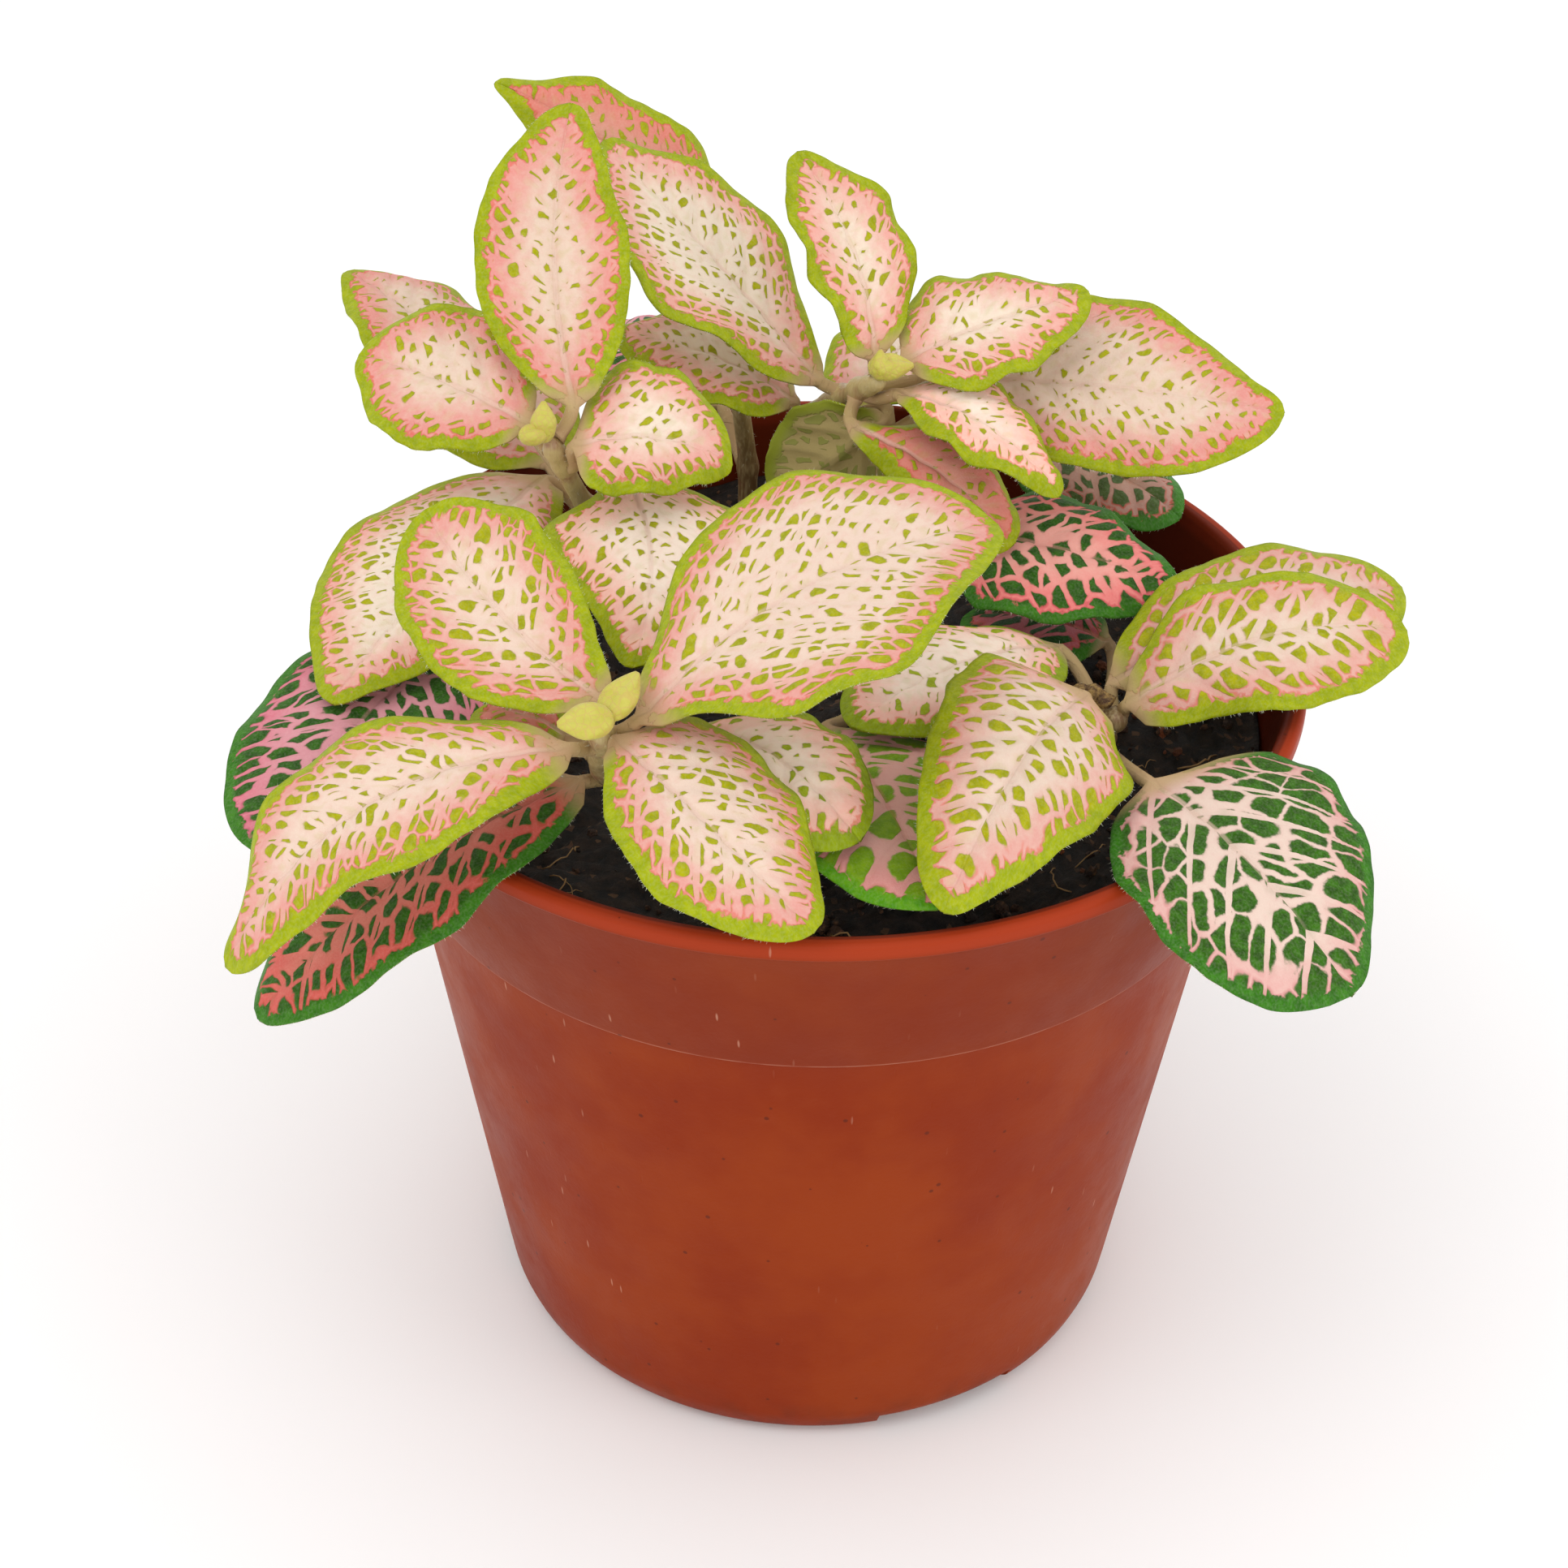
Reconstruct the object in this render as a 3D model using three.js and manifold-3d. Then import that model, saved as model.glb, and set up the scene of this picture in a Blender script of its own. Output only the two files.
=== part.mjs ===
// Potted nerve plant: six rooted shoots in a tapered plastic nursery pot filled with peat.
// Millimetres, +Z up, origin at the centre of the pot's flat base, front towards -Y.
import * as THREE from "three";
import Module from "manifold-3d";
import { mergeVertices } from "three/addons/utils/BufferGeometryUtils.js";

const wasm = await Module();
wasm.setup();
const { Manifold, Mesh } = wasm;

// ---------------------------------------------------------------- pot and peat sizes
const POT_SEGMENTS = 56;
const SOIL_SEGMENTS = 40;
const CLEARANCE = 0.3;
const SOIL_TOP = 87;
const NOTCH_HEIGHT = 2.5;
const NOTCH_INNER_RADIUS = 31;
const NOTCH_WIDTH_DEG = 28;
const NOTCH_CENTRES_DEG = [-62, 58, 178];

// radius and height, from the middle of the base, up the outside, over the lip, down the inside
const POT_PROFILE = [
  [0, 0],
  [37.6, 0],
  [39.4, 1.2],
  [40.4, 3.6],
  [41, 7],
  [51.9, 72],
  [52.6, 72.4],
  [58.9, 93.2],
  [60, 93.8],
  [60, 95.5],
  [59.5, 96],
  [58.1, 96],
  [57.6, 95.4],
  [51.3, 72.6],
  [50.7, 72],
  [39.8, 7],
  [39, 4],
  [29, 4],
  [27.5, 1.5],
  [0, 1.5],
];

const SOIL_PROFILE = [
  [0, 1.8],
  [27.3, 1.8],
  [28.8, 4.3],
  [38.6, 4.3],
  [39.4, 7],
  [50.3, 72],
  [50.9, 72.8],
  [54.8, 86.6],
];
const SOIL_TOP_RADII = [46, 34, 21, 9];

// ---------------------------------------------------------------- shoots
// each stem: axis points from the foot in the peat to the growing tip
const STEM_RADIUS = 1.4;
const STEM_TIP_RADIUS = 1.1;
const STEM_SIDES = 8;
const STEMS = {
  stem_a: [[-22, -28, 78], [-22, -28, 92], [-25, -37, 104], [-24, -44, 114]],
  stem_b: [[-22, 14, 78], [-22, 14, 94], [-30, 10, 111], [-33, 5, 121.5]],
  stem_c: [[-6, 44, 78], [-6, 44, 94], [-3, 38, 106], [3, 29, 115], [7, 21, 121.5]],
  stem_d: [[35, -8, 78], [35, -8, 90], [36, -14, 96]],
  stem_e: [[-10, 47, 78], [-10, 47, 94], [-11, 44.5, 104], [-12, 42, 111]],
  stem_f: [[6, 0, 78], [6, 0, 88.5], [4, -5, 92.5]],
};

// ---------------------------------------------------------------- leaves
// stem and height: where the petiole leaves, base and tip: ends of the blade's midrib,
// wide: greatest width, mid: where along the blade it is widest, roll: tilt about the midrib in degrees,
// arch: rise of the midrib, cup: rise of the margins, bend: sideways bow of the midrib,
// skew: how much wider the right half is, wave: margin amplitude, count and phase,
// blunt: fullness of the tip (smaller is rounder), young or old foliage,
// left and right: distances from the midrib to each margin at the margin stations
const LEAVES = [];

// the point of a stem's axis at a height
function onStem(stem, height) {
  const path = STEMS[stem];
  const found = path.findIndex((point) => point[2] >= height);
  const above = path[found];
  const below = path[found - 1];
  const part = (height - below[2]) / (above[2] - below[2]);
  return below.map((value, axis) => value + (above[axis] - value) * part);
}

function stemDirection(stem, height) {
  const path = STEMS[stem];
  const found = path.findIndex((point) => point[2] >= height);
  return new THREE.Vector3(...path[found]).sub(new THREE.Vector3(...path[found - 1])).normalize();
}

function leaf(name, stem, height, base, tip, form) {
  const plain = {
    wide: 20, mid: 0.5, roll: 0, arch: 3, cup: -1.5, bend: 0, skew: 0, blunt: 0.6,
    wave: [0.6, 3, 0], age: "young",
  };
  LEAVES.push({ name, stem, height, at: onStem(stem, height), base, tip, ...plain, ...form });
}

// shoot A
leaf("leaf_a1", "stem_a", 112, [-24.5, -40.2, 115.3], [-45.5, -20, 127], {
  wide: 22, mid: 0.52, roll: 20, arch: 0, cup: 1, bend: -1.8, wave: [0.7, 3, 1],
  left: [2.2, 6, 10, 10.5, 9.7, 5.9], right: [1.8, 4, 7.5, 9.8, 10, 6.2],
});
leaf("leaf_a2", "stem_a", 111.5, [-19.5, -43.3, 115], [20, -24, 129], {
  wide: 35, mid: 0.55, arch: 5, cup: 1, bend: -0.5, wave: [0.8, 3, 0],
  left: [2.2, 6.5, 14.3, 18.5, 17.3, 11.2], right: [2.2, 7.3, 17.8, 21, 16.2, 7.6],
});
leaf("leaf_a3", "stem_a", 110, [-28.2, -45.8, 112], [-65.2, -62, 93], {
  wide: 22, mid: 0.45, roll: 10, arch: 8, cup: -1, bend: 1.8, wave: [1, 3, 1],
  left: [2, 5, 9.3, 9.4, 6.8, 5.4], right: [2.2, 6.2, 10.3, 11.7, 10, 3.2],
});
leaf("leaf_a4", "stem_a", 109.5, [-22, -45.8, 113.2], [0, -64, 101], {
  wide: 25, arch: 5, cup: -2, bend: 3.6,
  left: [5, 11.5, 13.4, 13.8, 11, 5.6], right: [2.2, 4.8, 8.6, 10.2, 9.6, 5.2],
});
leaf("leaf_a5", "stem_a", 102.5, [-14, -30, 104], [5, -47, 101], { wide: 19, arch: 4, roll: -5 });
leaf("leaf_a6", "stem_a", 106, [-28.6, -37.4, 108], [-39.5, -33.5, 108], {
  wide: 12, arch: 1.5, cup: -0.8,
});
leaf("leaf_a8", "stem_a", 101, [-27.5, -37, 101], [-63, -57, 81.5], {
  wide: 23, mid: 0.45, arch: 4.5, cup: -1, age: "old",
  left: [3, 5.6, 9.2, 10.8, 9.8, 6], right: [2.5, 6, 10.5, 12, 10.5, 6],
});
leaf("leaf_a7", "stem_b", 95.5, [-40, 2, 99], [-64, -45, 96.5], {
  wide: 28, arch: 3, cup: -1, age: "old",
});
// shoot B
leaf("leaf_b1", "stem_b", 121, [-30.2, 7.2, 125.8], [-31, 27, 155.5], {
  wide: 19, mid: 0.42, arch: -2, cup: 1, bend: -2.2, wave: [0.9, 3, 0],
  left: [2, 5.4, 9, 9.7, 8.8, 5], right: [1.8, 5, 8.4, 9.2, 6.9, 3.6],
});
leaf("leaf_b2", "stem_b", 119.5, [-35.9, 6.6, 123.2], [-57, 17, 126], {
  wide: 19, mid: 0.55, arch: 1, cup: -1, bend: 0.5, roll: 30,
  left: [2.6, 5, 7.8, 9.2, 8.4, 4.2], right: [2.6, 6, 9.6, 11.2, 10.3, 7],
});
leaf("leaf_b3", "stem_b", 117, [-29.4, 3.9, 121.8], [-11, 6, 118], {
  wide: 18, mid: 0.42, arch: 2, cup: -1, bend: -1.2, roll: -30,
  left: [3, 8.2, 11, 10.8, 9.2, 6], right: [3, 6.6, 7.4, 7.2, 5.6, 2.8],
});
leaf("leaf_b6", "stem_b", 109, [-24, 9, 113.5], [-22, -16, 103], {
  wide: 29, mid: 0.42, arch: 3, cup: -1, bend: -2.5,
  left: [3, 9, 13, 13, 9.6, 5], right: [2, 5, 12.4, 10.9, 7.6, 3.4],
});
leaf("leaf_b7", "stem_b", 107, [-35, 15.5, 109.5], [-57, -24, 102.5], {
  wide: 24, mid: 0.45, arch: 2, cup: -1,
  left: [3, 6, 9.6, 10.6, 8.6, 4], right: [4, 9.5, 14.4, 15.2, 12.2, 5.9],
});
leaf("leaf_b4", "stem_b", 99, [-42, 40, 108], [-64, 62, 113], {
  wide: 22, arch: 1, roll: -10,
  left: [2, 5, 9, 9.4, 7, 3.4], right: [2, 6, 11, 12.4, 11.4, 7.6],
});
// shoot C
leaf("leaf_c1", "stem_c", 114, [-1, 30.7, 116], [-28.5, 45, 141.5], {
  wide: 26, arch: 1, cup: 1, bend: -0.6,
  left: [2.4, 6.8, 10.8, 15, 13.6, 6.4], right: [1.8, 3.6, 9.4, 12.6, 10.6, 4.9],
});
leaf("leaf_c3", "stem_c", 121, [6, 23, 124], [-4, 34, 146], {
  wide: 17, arch: -1, cup: 1, bend: 3.4, wave: [0.9, 3, 1],
  left: [1.8, 4.4, 6.6, 8, 7.2, 4.6], right: [2, 5.4, 8, 8, 7, 3.4],
});
leaf("leaf_c4", "stem_c", 119, [10.2, 23.4, 123.2], [32.6, 30, 129.6], {
  wide: 20, arch: 1, cup: -1, roll: -15,
  left: [3, 8, 10.8, 9.4, 6.6, 2.8], right: [2.6, 6, 8.6, 8.5, 7.3, 4.2],
});
leaf("leaf_c5", "stem_c", 117.5, [9.8, 20, 120.1], [29, 7.5, 113.6], {
  wide: 14, mid: 0.4, arch: 3, cup: -1,
  left: [3.6, 8, 9.3, 8.2, 5.4, 3], right: [1.5, 3, 5.2, 6.2, 4.7, 2.2],
});
leaf("leaf_c6", "stem_c", 114, [14, 31.3, 116.2], [57, 20, 118.6], {
  wide: 25, mid: 0.47, arch: 2, cup: -1, roll: -30,
  left: [2.4, 7.6, 13, 13.8, 9.8, 4], right: [2.2, 6, 10, 11.4, 11.4, 6.6],
});
leaf("leaf_c7", "stem_c", 117, [3.8, 20.6, 115], [24, 11, 104.5], {
  wide: 14, arch: 3, cup: -2, roll: -20,
  left: [1.2, 2.6, 6, 7, 6.4, 4], right: [1.3, 2.2, 3.2, 5, 6.4, 4],
});
leaf("leaf_c8", "stem_c", 92, [17, 19, 101], [44, 7, 101], {
  wide: 24, arch: 3, roll: -15, age: "old", bend: 1.3,
  left: [2.6, 6.8, 10, 10.2, 7.4, 4.2], right: [3, 7, 11, 10.8, 9.2, 5.4],
});
leaf("leaf_c9", "stem_c", 96, [25, 43, 99], [46, 28, 98], { wide: 16, arch: 3, roll: -10, age: "old" });
leaf("leaf_c10", "stem_c", 111.5, [8, 24.4, 114], [-6, 25.2, 101], {
  wide: 16, arch: 1, cup: 0, roll: -104,
  left: [1.5, 3.2, 6.6, 8.2, 7, 4.4], right: [1.5, 5, 8, 8, 6.6, 4],
});
leaf("leaf_c2", "stem_e", 110, [-4, 32, 112], [-27, 36, 119], {
  wide: 22, arch: 2,
  left: [2, 5, 8, 8.4, 7, 4], right: [2, 6, 11, 12, 10, 5.6],
});
leaf("leaf_b5", "stem_e", 107, [-15, 53, 121], [-43, 58, 143], {
  wide: 15, mid: 0.4, arch: 2, roll: 40, bend: 2,
  left: [2, 4.8, 7, 6.8, 5, 2], right: [2.4, 6.2, 9.8, 8.4, 7.4, 2.6],
});
// shoot D
leaf("leaf_d1", "stem_d", 95, [37.6, -14, 98.1], [71, -5, 103.2], {
  wide: 20, mid: 0.45, arch: 4, cup: -1, bend: -2.2, roll: -30,
  left: [2.4, 5, 9.2, 8.6, 7.9, 5.2], right: [2.8, 5.6, 7.4, 9.6, 9.3, 5.6],
});
leaf("leaf_d2", "stem_d", 93.5, [36, -8, 97], [72, 8, 101], { wide: 22, arch: 4, cup: -1, roll: -15 });
leaf("leaf_d3", "stem_d", 94.5, [31, -21.7, 104], [14.3, -57.5, 99.3], {
  wide: 27, mid: 0.38, arch: 6, cup: -2, bend: 2, roll: 24,
  left: [4, 7, 12.2, 11.4, 8.5, 4.2], right: [6, 11.6, 12, 10.5, 8.7, 5],
});
leaf("leaf_d4", "stem_d", 88.3, [39.4, -30.5, 97.6], [60.8, -56, 87.3], {
  wide: 33, mid: 0.45, arch: 4.5, cup: -1, bend: 1.2, roll: 0, blunt: 0.5, age: "old",
  left: [7, 16.6, 18.4, 17.2, 13, 6.4], right: [3, 9.8, 14.4, 15.4, 15, 10.4],
});
leaf("leaf_d5", "stem_d", 91.5, [29, 0, 96.5], [4, -21, 98.5], { wide: 21, arch: 3, cup: -1 });
leaf("leaf_d6", "stem_d", 89, [36, 8, 92], [18, 14, 91], { wide: 18, arch: 2, cup: -1, age: "old" });
leaf("leaf_e1", "stem_f", 91, [1, -14, 93], [14, -54, 97], { wide: 28, arch: 3, cup: -1 });
// back of the plant
leaf("leaf_g1", "stem_e", 93, [-14, 55, 98], [-34, 82, 93], { wide: 22, arch: 4, age: "old" });
leaf("leaf_g2", "stem_c", 98.5, [2, 52, 100], [24, 76, 99], { wide: 22, arch: 4 });
leaf("leaf_g3", "stem_c", 90.5, [16, 56, 98], [48, 62, 96.5], { wide: 22, arch: 3, age: "old" });
leaf("leaf_g4", "stem_b", 93, [-36, 40, 97], [-52, 62, 95], { wide: 22, arch: 3, age: "old" });

const BLADE_THICKNESS = 0.7;
const BLADE_STEPS = 9;
const BLADE_COLUMNS = 6;
const HALF_WIDTH_MIN = 0.75;
const MARGIN_STATIONS = [0, 0.1, 0.3, 0.5, 0.7, 0.9, 1];
const PUFF = 0.6;
const PETIOLE_RADIUS = 0.85;
const LOOP_GAP = 0.2;
const WELD = 0.02;

const BUD_SEGMENTS = 10;

const COLOURS = {
  pot: 0xa5492c,
  soil: 0x1d1713,
  stem: 0xa9806a,
  young: 0xd9b89a,
  old: 0x4c7a3c,
  bud: 0xc9cf5a,
};

// ---------------------------------------------------------------- small vector helpers
function vector(values) {
  return new THREE.Vector3(...values);
}

function radians(degrees) {
  return (degrees * Math.PI) / 180;
}

function solidFrom(points, triangles) {
  const vertProperties = new Float32Array(points.length * 3);
  points.forEach((point, index) => {
    vertProperties.set([point.x, point.y, point.z], index * 3);
  });
  const triVerts = new Uint32Array(triangles.flat());
  return new Manifold(new Mesh({ numProp: 3, vertProperties, triVerts }));
}

// ---------------------------------------------------------------- turned bodies
function turned(profile, segments) {
  const outline = profile.map(([radius, height]) => [radius, height]);
  return Manifold.revolve([outline], segments);
}

function notch(centreDegrees) {
  const outer = 44;
  const half = NOTCH_WIDTH_DEG / 2;
  const steps = 4;
  const outline = [];
  for (let step = 0; step <= steps; step += 1) {
    const angle = radians(centreDegrees - half + (NOTCH_WIDTH_DEG * step) / steps);
    outline.push([outer * Math.cos(angle), outer * Math.sin(angle)]);
  }
  for (let step = steps; step >= 0; step -= 1) {
    const angle = radians(centreDegrees - half + (NOTCH_WIDTH_DEG * step) / steps);
    outline.push([NOTCH_INNER_RADIUS * Math.cos(angle), NOTCH_INNER_RADIUS * Math.sin(angle)]);
  }
  return Manifold.extrude([outline], NOTCH_HEIGHT + 1).translate([0, 0, -1]);
}

function potSolid() {
  let body = turned(POT_PROFILE, POT_SEGMENTS);
  for (const centre of NOTCH_CENTRES_DEG) {
    body = body.subtract(notch(centre));
  }
  return body.asOriginal().simplify(WELD);
}

// gentle hummocks of the peat surface
function peatHeight(x, y) {
  return SOIL_TOP + 0.7 * Math.sin(x * 0.16 + 1) * Math.cos(y * 0.13) + 0.4 * Math.sin(x * 0.31 - y * 0.27);
}

function soilSolid() {
  const points = [vector([0, 0, SOIL_PROFILE[0][1]])];
  const triangles = [];
  const rings = SOIL_PROFILE.slice(1);
  for (const radius of SOIL_TOP_RADII) {
    rings.push([radius, null]);
  }
  for (const [radius, height] of rings) {
    for (let side = 0; side < SOIL_SEGMENTS; side += 1) {
      const angle = (2 * Math.PI * side) / SOIL_SEGMENTS;
      const x = radius * Math.cos(angle);
      const y = radius * Math.sin(angle);
      points.push(vector([x, y, height ?? peatHeight(x, y)]));
    }
  }
  points.push(vector([0, 0, peatHeight(0, 0)]));
  const at = (ring, side) => 1 + ring * SOIL_SEGMENTS + (side % SOIL_SEGMENTS);
  const last = points.length - 1;
  for (let side = 0; side < SOIL_SEGMENTS; side += 1) {
    triangles.push([0, at(0, side + 1), at(0, side)]);
    for (let ring = 0; ring < rings.length - 1; ring += 1) {
      triangles.push([at(ring, side), at(ring, side + 1), at(ring + 1, side + 1)]);
      triangles.push([at(ring, side), at(ring + 1, side + 1), at(ring + 1, side)]);
    }
    triangles.push([at(rings.length - 1, side), at(rings.length - 1, side + 1), last]);
  }
  let body = solidFrom(points, triangles);
  for (const path of Object.values(STEMS)) {
    const [x, y, foot] = path[0];
    const depth = SOIL_TOP + 6 - foot;
    const hole = Manifold.cylinder(depth, STEM_RADIUS + 2 * CLEARANCE, STEM_RADIUS + 2 * CLEARANCE, 12);
    body = body.subtract(hole.translate([x, y, foot - CLEARANCE]));
  }
  return body.asOriginal().simplify(WELD);
}

// ---------------------------------------------------------------- tubes for stems and petioles
function tube(path, startRadius, endRadius, sides) {
  const axis = path.map(vector);
  const points = [];
  const triangles = [];
  let across = null;
  axis.forEach((centre, index) => {
    const before = axis[Math.max(index - 1, 0)];
    const after = axis[Math.min(index + 1, axis.length - 1)];
    const along = after.clone().sub(before).normalize();
    if (across === null) {
      const away = Math.abs(along.z) > 0.9 ? vector([1, 0, 0]) : vector([0, 0, 1]);
      across = away.sub(along.clone().multiplyScalar(away.dot(along))).normalize();
    } else {
      across = across.sub(along.clone().multiplyScalar(across.dot(along))).normalize();
    }
    const upward = along.clone().cross(across);
    const radius = startRadius + ((endRadius - startRadius) * index) / (axis.length - 1);
    for (let side = 0; side < sides; side += 1) {
      const angle = (2 * Math.PI * side) / sides;
      const spoke = across.clone().multiplyScalar(radius * Math.cos(angle));
      spoke.addScaledVector(upward, radius * Math.sin(angle));
      points.push(centre.clone().add(spoke));
    }
  });
  const at = (ring, side) => ring * sides + (side % sides);
  for (let ring = 0; ring < axis.length - 1; ring += 1) {
    for (let side = 0; side < sides; side += 1) {
      triangles.push([at(ring, side), at(ring, side + 1), at(ring + 1, side + 1)]);
      triangles.push([at(ring, side), at(ring + 1, side + 1), at(ring + 1, side)]);
    }
  }
  for (let side = 1; side < sides - 1; side += 1) {
    triangles.push([0, side + 1, side]);
    triangles.push([at(axis.length - 1, 0), at(axis.length - 1, side), at(axis.length - 1, side + 1)]);
  }
  return solidFrom(points, triangles);
}

// ---------------------------------------------------------------- leaf blades
// distance from midrib to margin, through the widths given at the stations, round at the tip
function marginReach(widths, along) {
  const squares = [...widths.map((width) => width ** 2), 0];
  const slopes = [];
  for (let index = 1; index < squares.length; index += 1) {
    const run = MARGIN_STATIONS[index] - MARGIN_STATIONS[index - 1];
    slopes.push((squares[index] - squares[index - 1]) / run);
  }
  const tangents = squares.map((_, index) => {
    const before = slopes[Math.max(index - 1, 0)];
    const after = slopes[Math.min(index, slopes.length - 1)];
    return before * after > 0 ? (2 * before * after) / (before + after) : 0;
  });
  let span = 0;
  while (span < slopes.length - 1 && along > MARGIN_STATIONS[span + 1]) {
    span += 1;
  }
  const run = MARGIN_STATIONS[span + 1] - MARGIN_STATIONS[span];
  const share = (along - MARGIN_STATIONS[span]) / run;
  const rest = 1 - share;
  const near = squares[span] * (1 + 2 * share) + tangents[span] * run * share;
  const far = squares[span + 1] * (3 - 2 * share) - tangents[span + 1] * run * rest;
  return Math.sqrt(Math.max(near * rest ** 2 + far * share ** 2, 0));
}

// along: 0 at the blade's base to 1 at its tip, side: -1 left margin to +1 right margin
function bladePoint(form, along, side) {
  const base = vector(form.base);
  const chord = vector(form.tip).sub(base);
  const forward = chord.clone().normalize();
  const level = forward.clone().cross(vector([0, 0, 1])).normalize();
  const upright = level.clone().cross(forward);
  const tilt = radians(form.roll);
  const right = level.clone().multiplyScalar(Math.cos(tilt)).addScaledVector(upright, Math.sin(tilt));
  const up = upright.clone().multiplyScalar(Math.cos(tilt)).addScaledVector(level, -Math.sin(tilt));
  const inside = Math.min(Math.max(along, 1e-6), 1 - 1e-6);
  const rise = (form.blunt * form.mid) / (1 - form.mid);
  const taper = (inside / form.mid) ** rise * ((1 - inside) / (1 - form.mid)) ** form.blunt;
  const even = (form.wide / 2) * taper * (1 + form.skew * Math.sign(side));
  const widths = side < 0 ? form.left : form.right;
  const half = Math.max(widths ? marginReach(widths, along) : even, HALF_WIDTH_MIN);
  const out = Math.abs(side);
  const [amplitude, count, phase] = form.wave;
  const lag = side > 0 ? 0 : 2.1;
  const ripple = Math.sin(2 * Math.PI * count * along + phase + lag);
  const margin = amplitude * Math.sqrt(taper) * out ** 3 * ripple;
  const lift = form.cup * taper * out ** 1.6 + PUFF * taper * Math.sin(Math.PI * out) + margin;
  const bow = 4 * along * (1 - along);
  return base
    .addScaledVector(chord, along)
    .addScaledVector(up, form.arch * bow + lift)
    .addScaledVector(right, form.bend * bow + half * side);
}

function bladeNormal(form, along, side) {
  const step = 0.01;
  const before = Math.max(along - step, 0.01);
  const after = Math.min(along + step, 0.99);
  const left = Math.max(side - step, -1);
  const right = Math.min(side + step, 1);
  const lengthwise = bladePoint(form, after, side).sub(bladePoint(form, before, side));
  const crosswise = bladePoint(form, along, right).sub(bladePoint(form, along, left));
  return crosswise.cross(lengthwise).normalize();
}

function ringFrame(form, forward) {
  const across = bladePoint(form, 0.5, 1).sub(bladePoint(form, 0.5, -1));
  const right = across.addScaledVector(forward, -across.dot(forward)).normalize();
  const up = right.clone().cross(forward);
  return { right, up };
}

// a round loop whose upper half runs left to right and lower half right to left
function stalkLoop(form, centre, forward) {
  const { right, up } = ringFrame(form, forward);
  const loop = [];
  const span = Math.PI - 2 * LOOP_GAP;
  for (let column = 0; column <= BLADE_COLUMNS; column += 1) {
    const angle = Math.PI - LOOP_GAP - (span * column) / BLADE_COLUMNS;
    loop.push([Math.cos(angle), Math.sin(angle)]);
  }
  for (let column = BLADE_COLUMNS; column >= 0; column -= 1) {
    const [x, y] = loop[column];
    loop.push([x, -y]);
  }
  return loop.map(([x, y]) => {
    const point = centre.clone().addScaledVector(right, PETIOLE_RADIUS * x);
    return point.addScaledVector(up, PETIOLE_RADIUS * y);
  });
}

function bladeLoop(form, along) {
  const over = [];
  const under = [];
  for (let column = 0; column <= BLADE_COLUMNS; column += 1) {
    const side = (2 * column) / BLADE_COLUMNS - 1;
    const middle = bladePoint(form, along, side);
    const normal = bladeNormal(form, along, side);
    over.push(middle.clone().addScaledVector(normal, BLADE_THICKNESS / 2));
    under.push(middle.clone().addScaledVector(normal, -BLADE_THICKNESS / 2));
  }
  return over.concat(under.reverse());
}

function leafSolid(form) {
  const node = vector(form.at);
  const base = vector(form.base);
  const stem = stemDirection(form.stem, form.height);
  const stalk = base.clone().sub(node).normalize();
  const outward = stalk.clone().addScaledVector(stem, -stalk.dot(stem)).normalize();
  const start = node.clone().addScaledVector(outward, STEM_RADIUS + CLEARANCE - 0.1);
  const onward = bladePoint(form, 0.1, 0).sub(base).normalize();
  const turn = base.clone().sub(start).normalize().add(onward).normalize();
  const loops = [
    stalkLoop(form, start, outward),
    stalkLoop(form, base.clone().addScaledVector(turn, -0.6), turn),
  ];
  for (let row = 0; row <= BLADE_STEPS; row += 1) {
    loops.push(bladeLoop(form, 0.02 + (0.98 * row) / BLADE_STEPS));
  }
  const sides = loops[0].length;
  const at = (ring, side) => ring * sides + (side % sides);
  const last = loops.length - 1;
  const triangles = [];
  for (let ring = 0; ring < last; ring += 1) {
    for (let side = 0; side < sides; side += 1) {
      triangles.push([at(ring, side), at(ring, side + 1), at(ring + 1, side + 1)]);
      triangles.push([at(ring, side), at(ring + 1, side + 1), at(ring + 1, side)]);
    }
  }
  for (let column = 0; column < BLADE_COLUMNS; column += 1) {
    const back = sides - 1 - column;
    triangles.push([at(0, column), at(0, back), at(0, column + 1)]);
    triangles.push([at(0, column + 1), at(0, back), at(0, back - 1)]);
    triangles.push([at(last, column), at(last, column + 1), at(last, back)]);
    triangles.push([at(last, column + 1), at(last, back - 1), at(last, back)]);
  }
  return solidFrom(loops.flat(), triangles);
}

// ---------------------------------------------------------------- folded young leaf pairs at the tips
// each scale: centre, half lengths, lean about X then turn about Z in degrees
const BUDS = {
  bud_a: [
    [[-25.5, -47.6, 117.2], [3.1, 2.3, 1.3], 30, 12],
    [[-22, -43.9, 118], [2.3, 3.3, 1.3], 30, -38],
    [[-23.8, -45.2, 116], [1.5, 1.5, 1.6], 0, 0],
  ],
  bud_b: [
    [[-33.6, 4.4, 124.4], [1.6, 1.5, 2.5], -20, 0],
    [[-34.6, 3.2, 123.5], [2, 1.5, 1.3], 10, 20],
  ],
  bud_c: [
    [[8, 20.5, 123.8], [2.8, 1.9, 1.7], 10, 10],
    [[6.8, 20, 124.2], [1.3, 1.3, 1.9], -20, 0],
  ],
  bud_d: [
    [[34.6, -12.7, 97.4], [1.3, 1, 1], 20, 30],
    [[33.2, -12.1, 98], [1.4, 1.1, 1.3], -15, 0],
    [[31.8, -11.8, 98.1], [1.3, 1, 0.9], 10, -20],
  ],
};

function budSolid(scales) {
  const bodies = scales.map(([centre, [a, b, c], lean, turn]) => {
    const ball = Manifold.sphere(1, BUD_SEGMENTS).scale([a, b, c]);
    return ball.rotate([lean, 0, turn]).translate(centre);
  });
  return Manifold.union(bodies).asOriginal().simplify(WELD);
}

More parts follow.
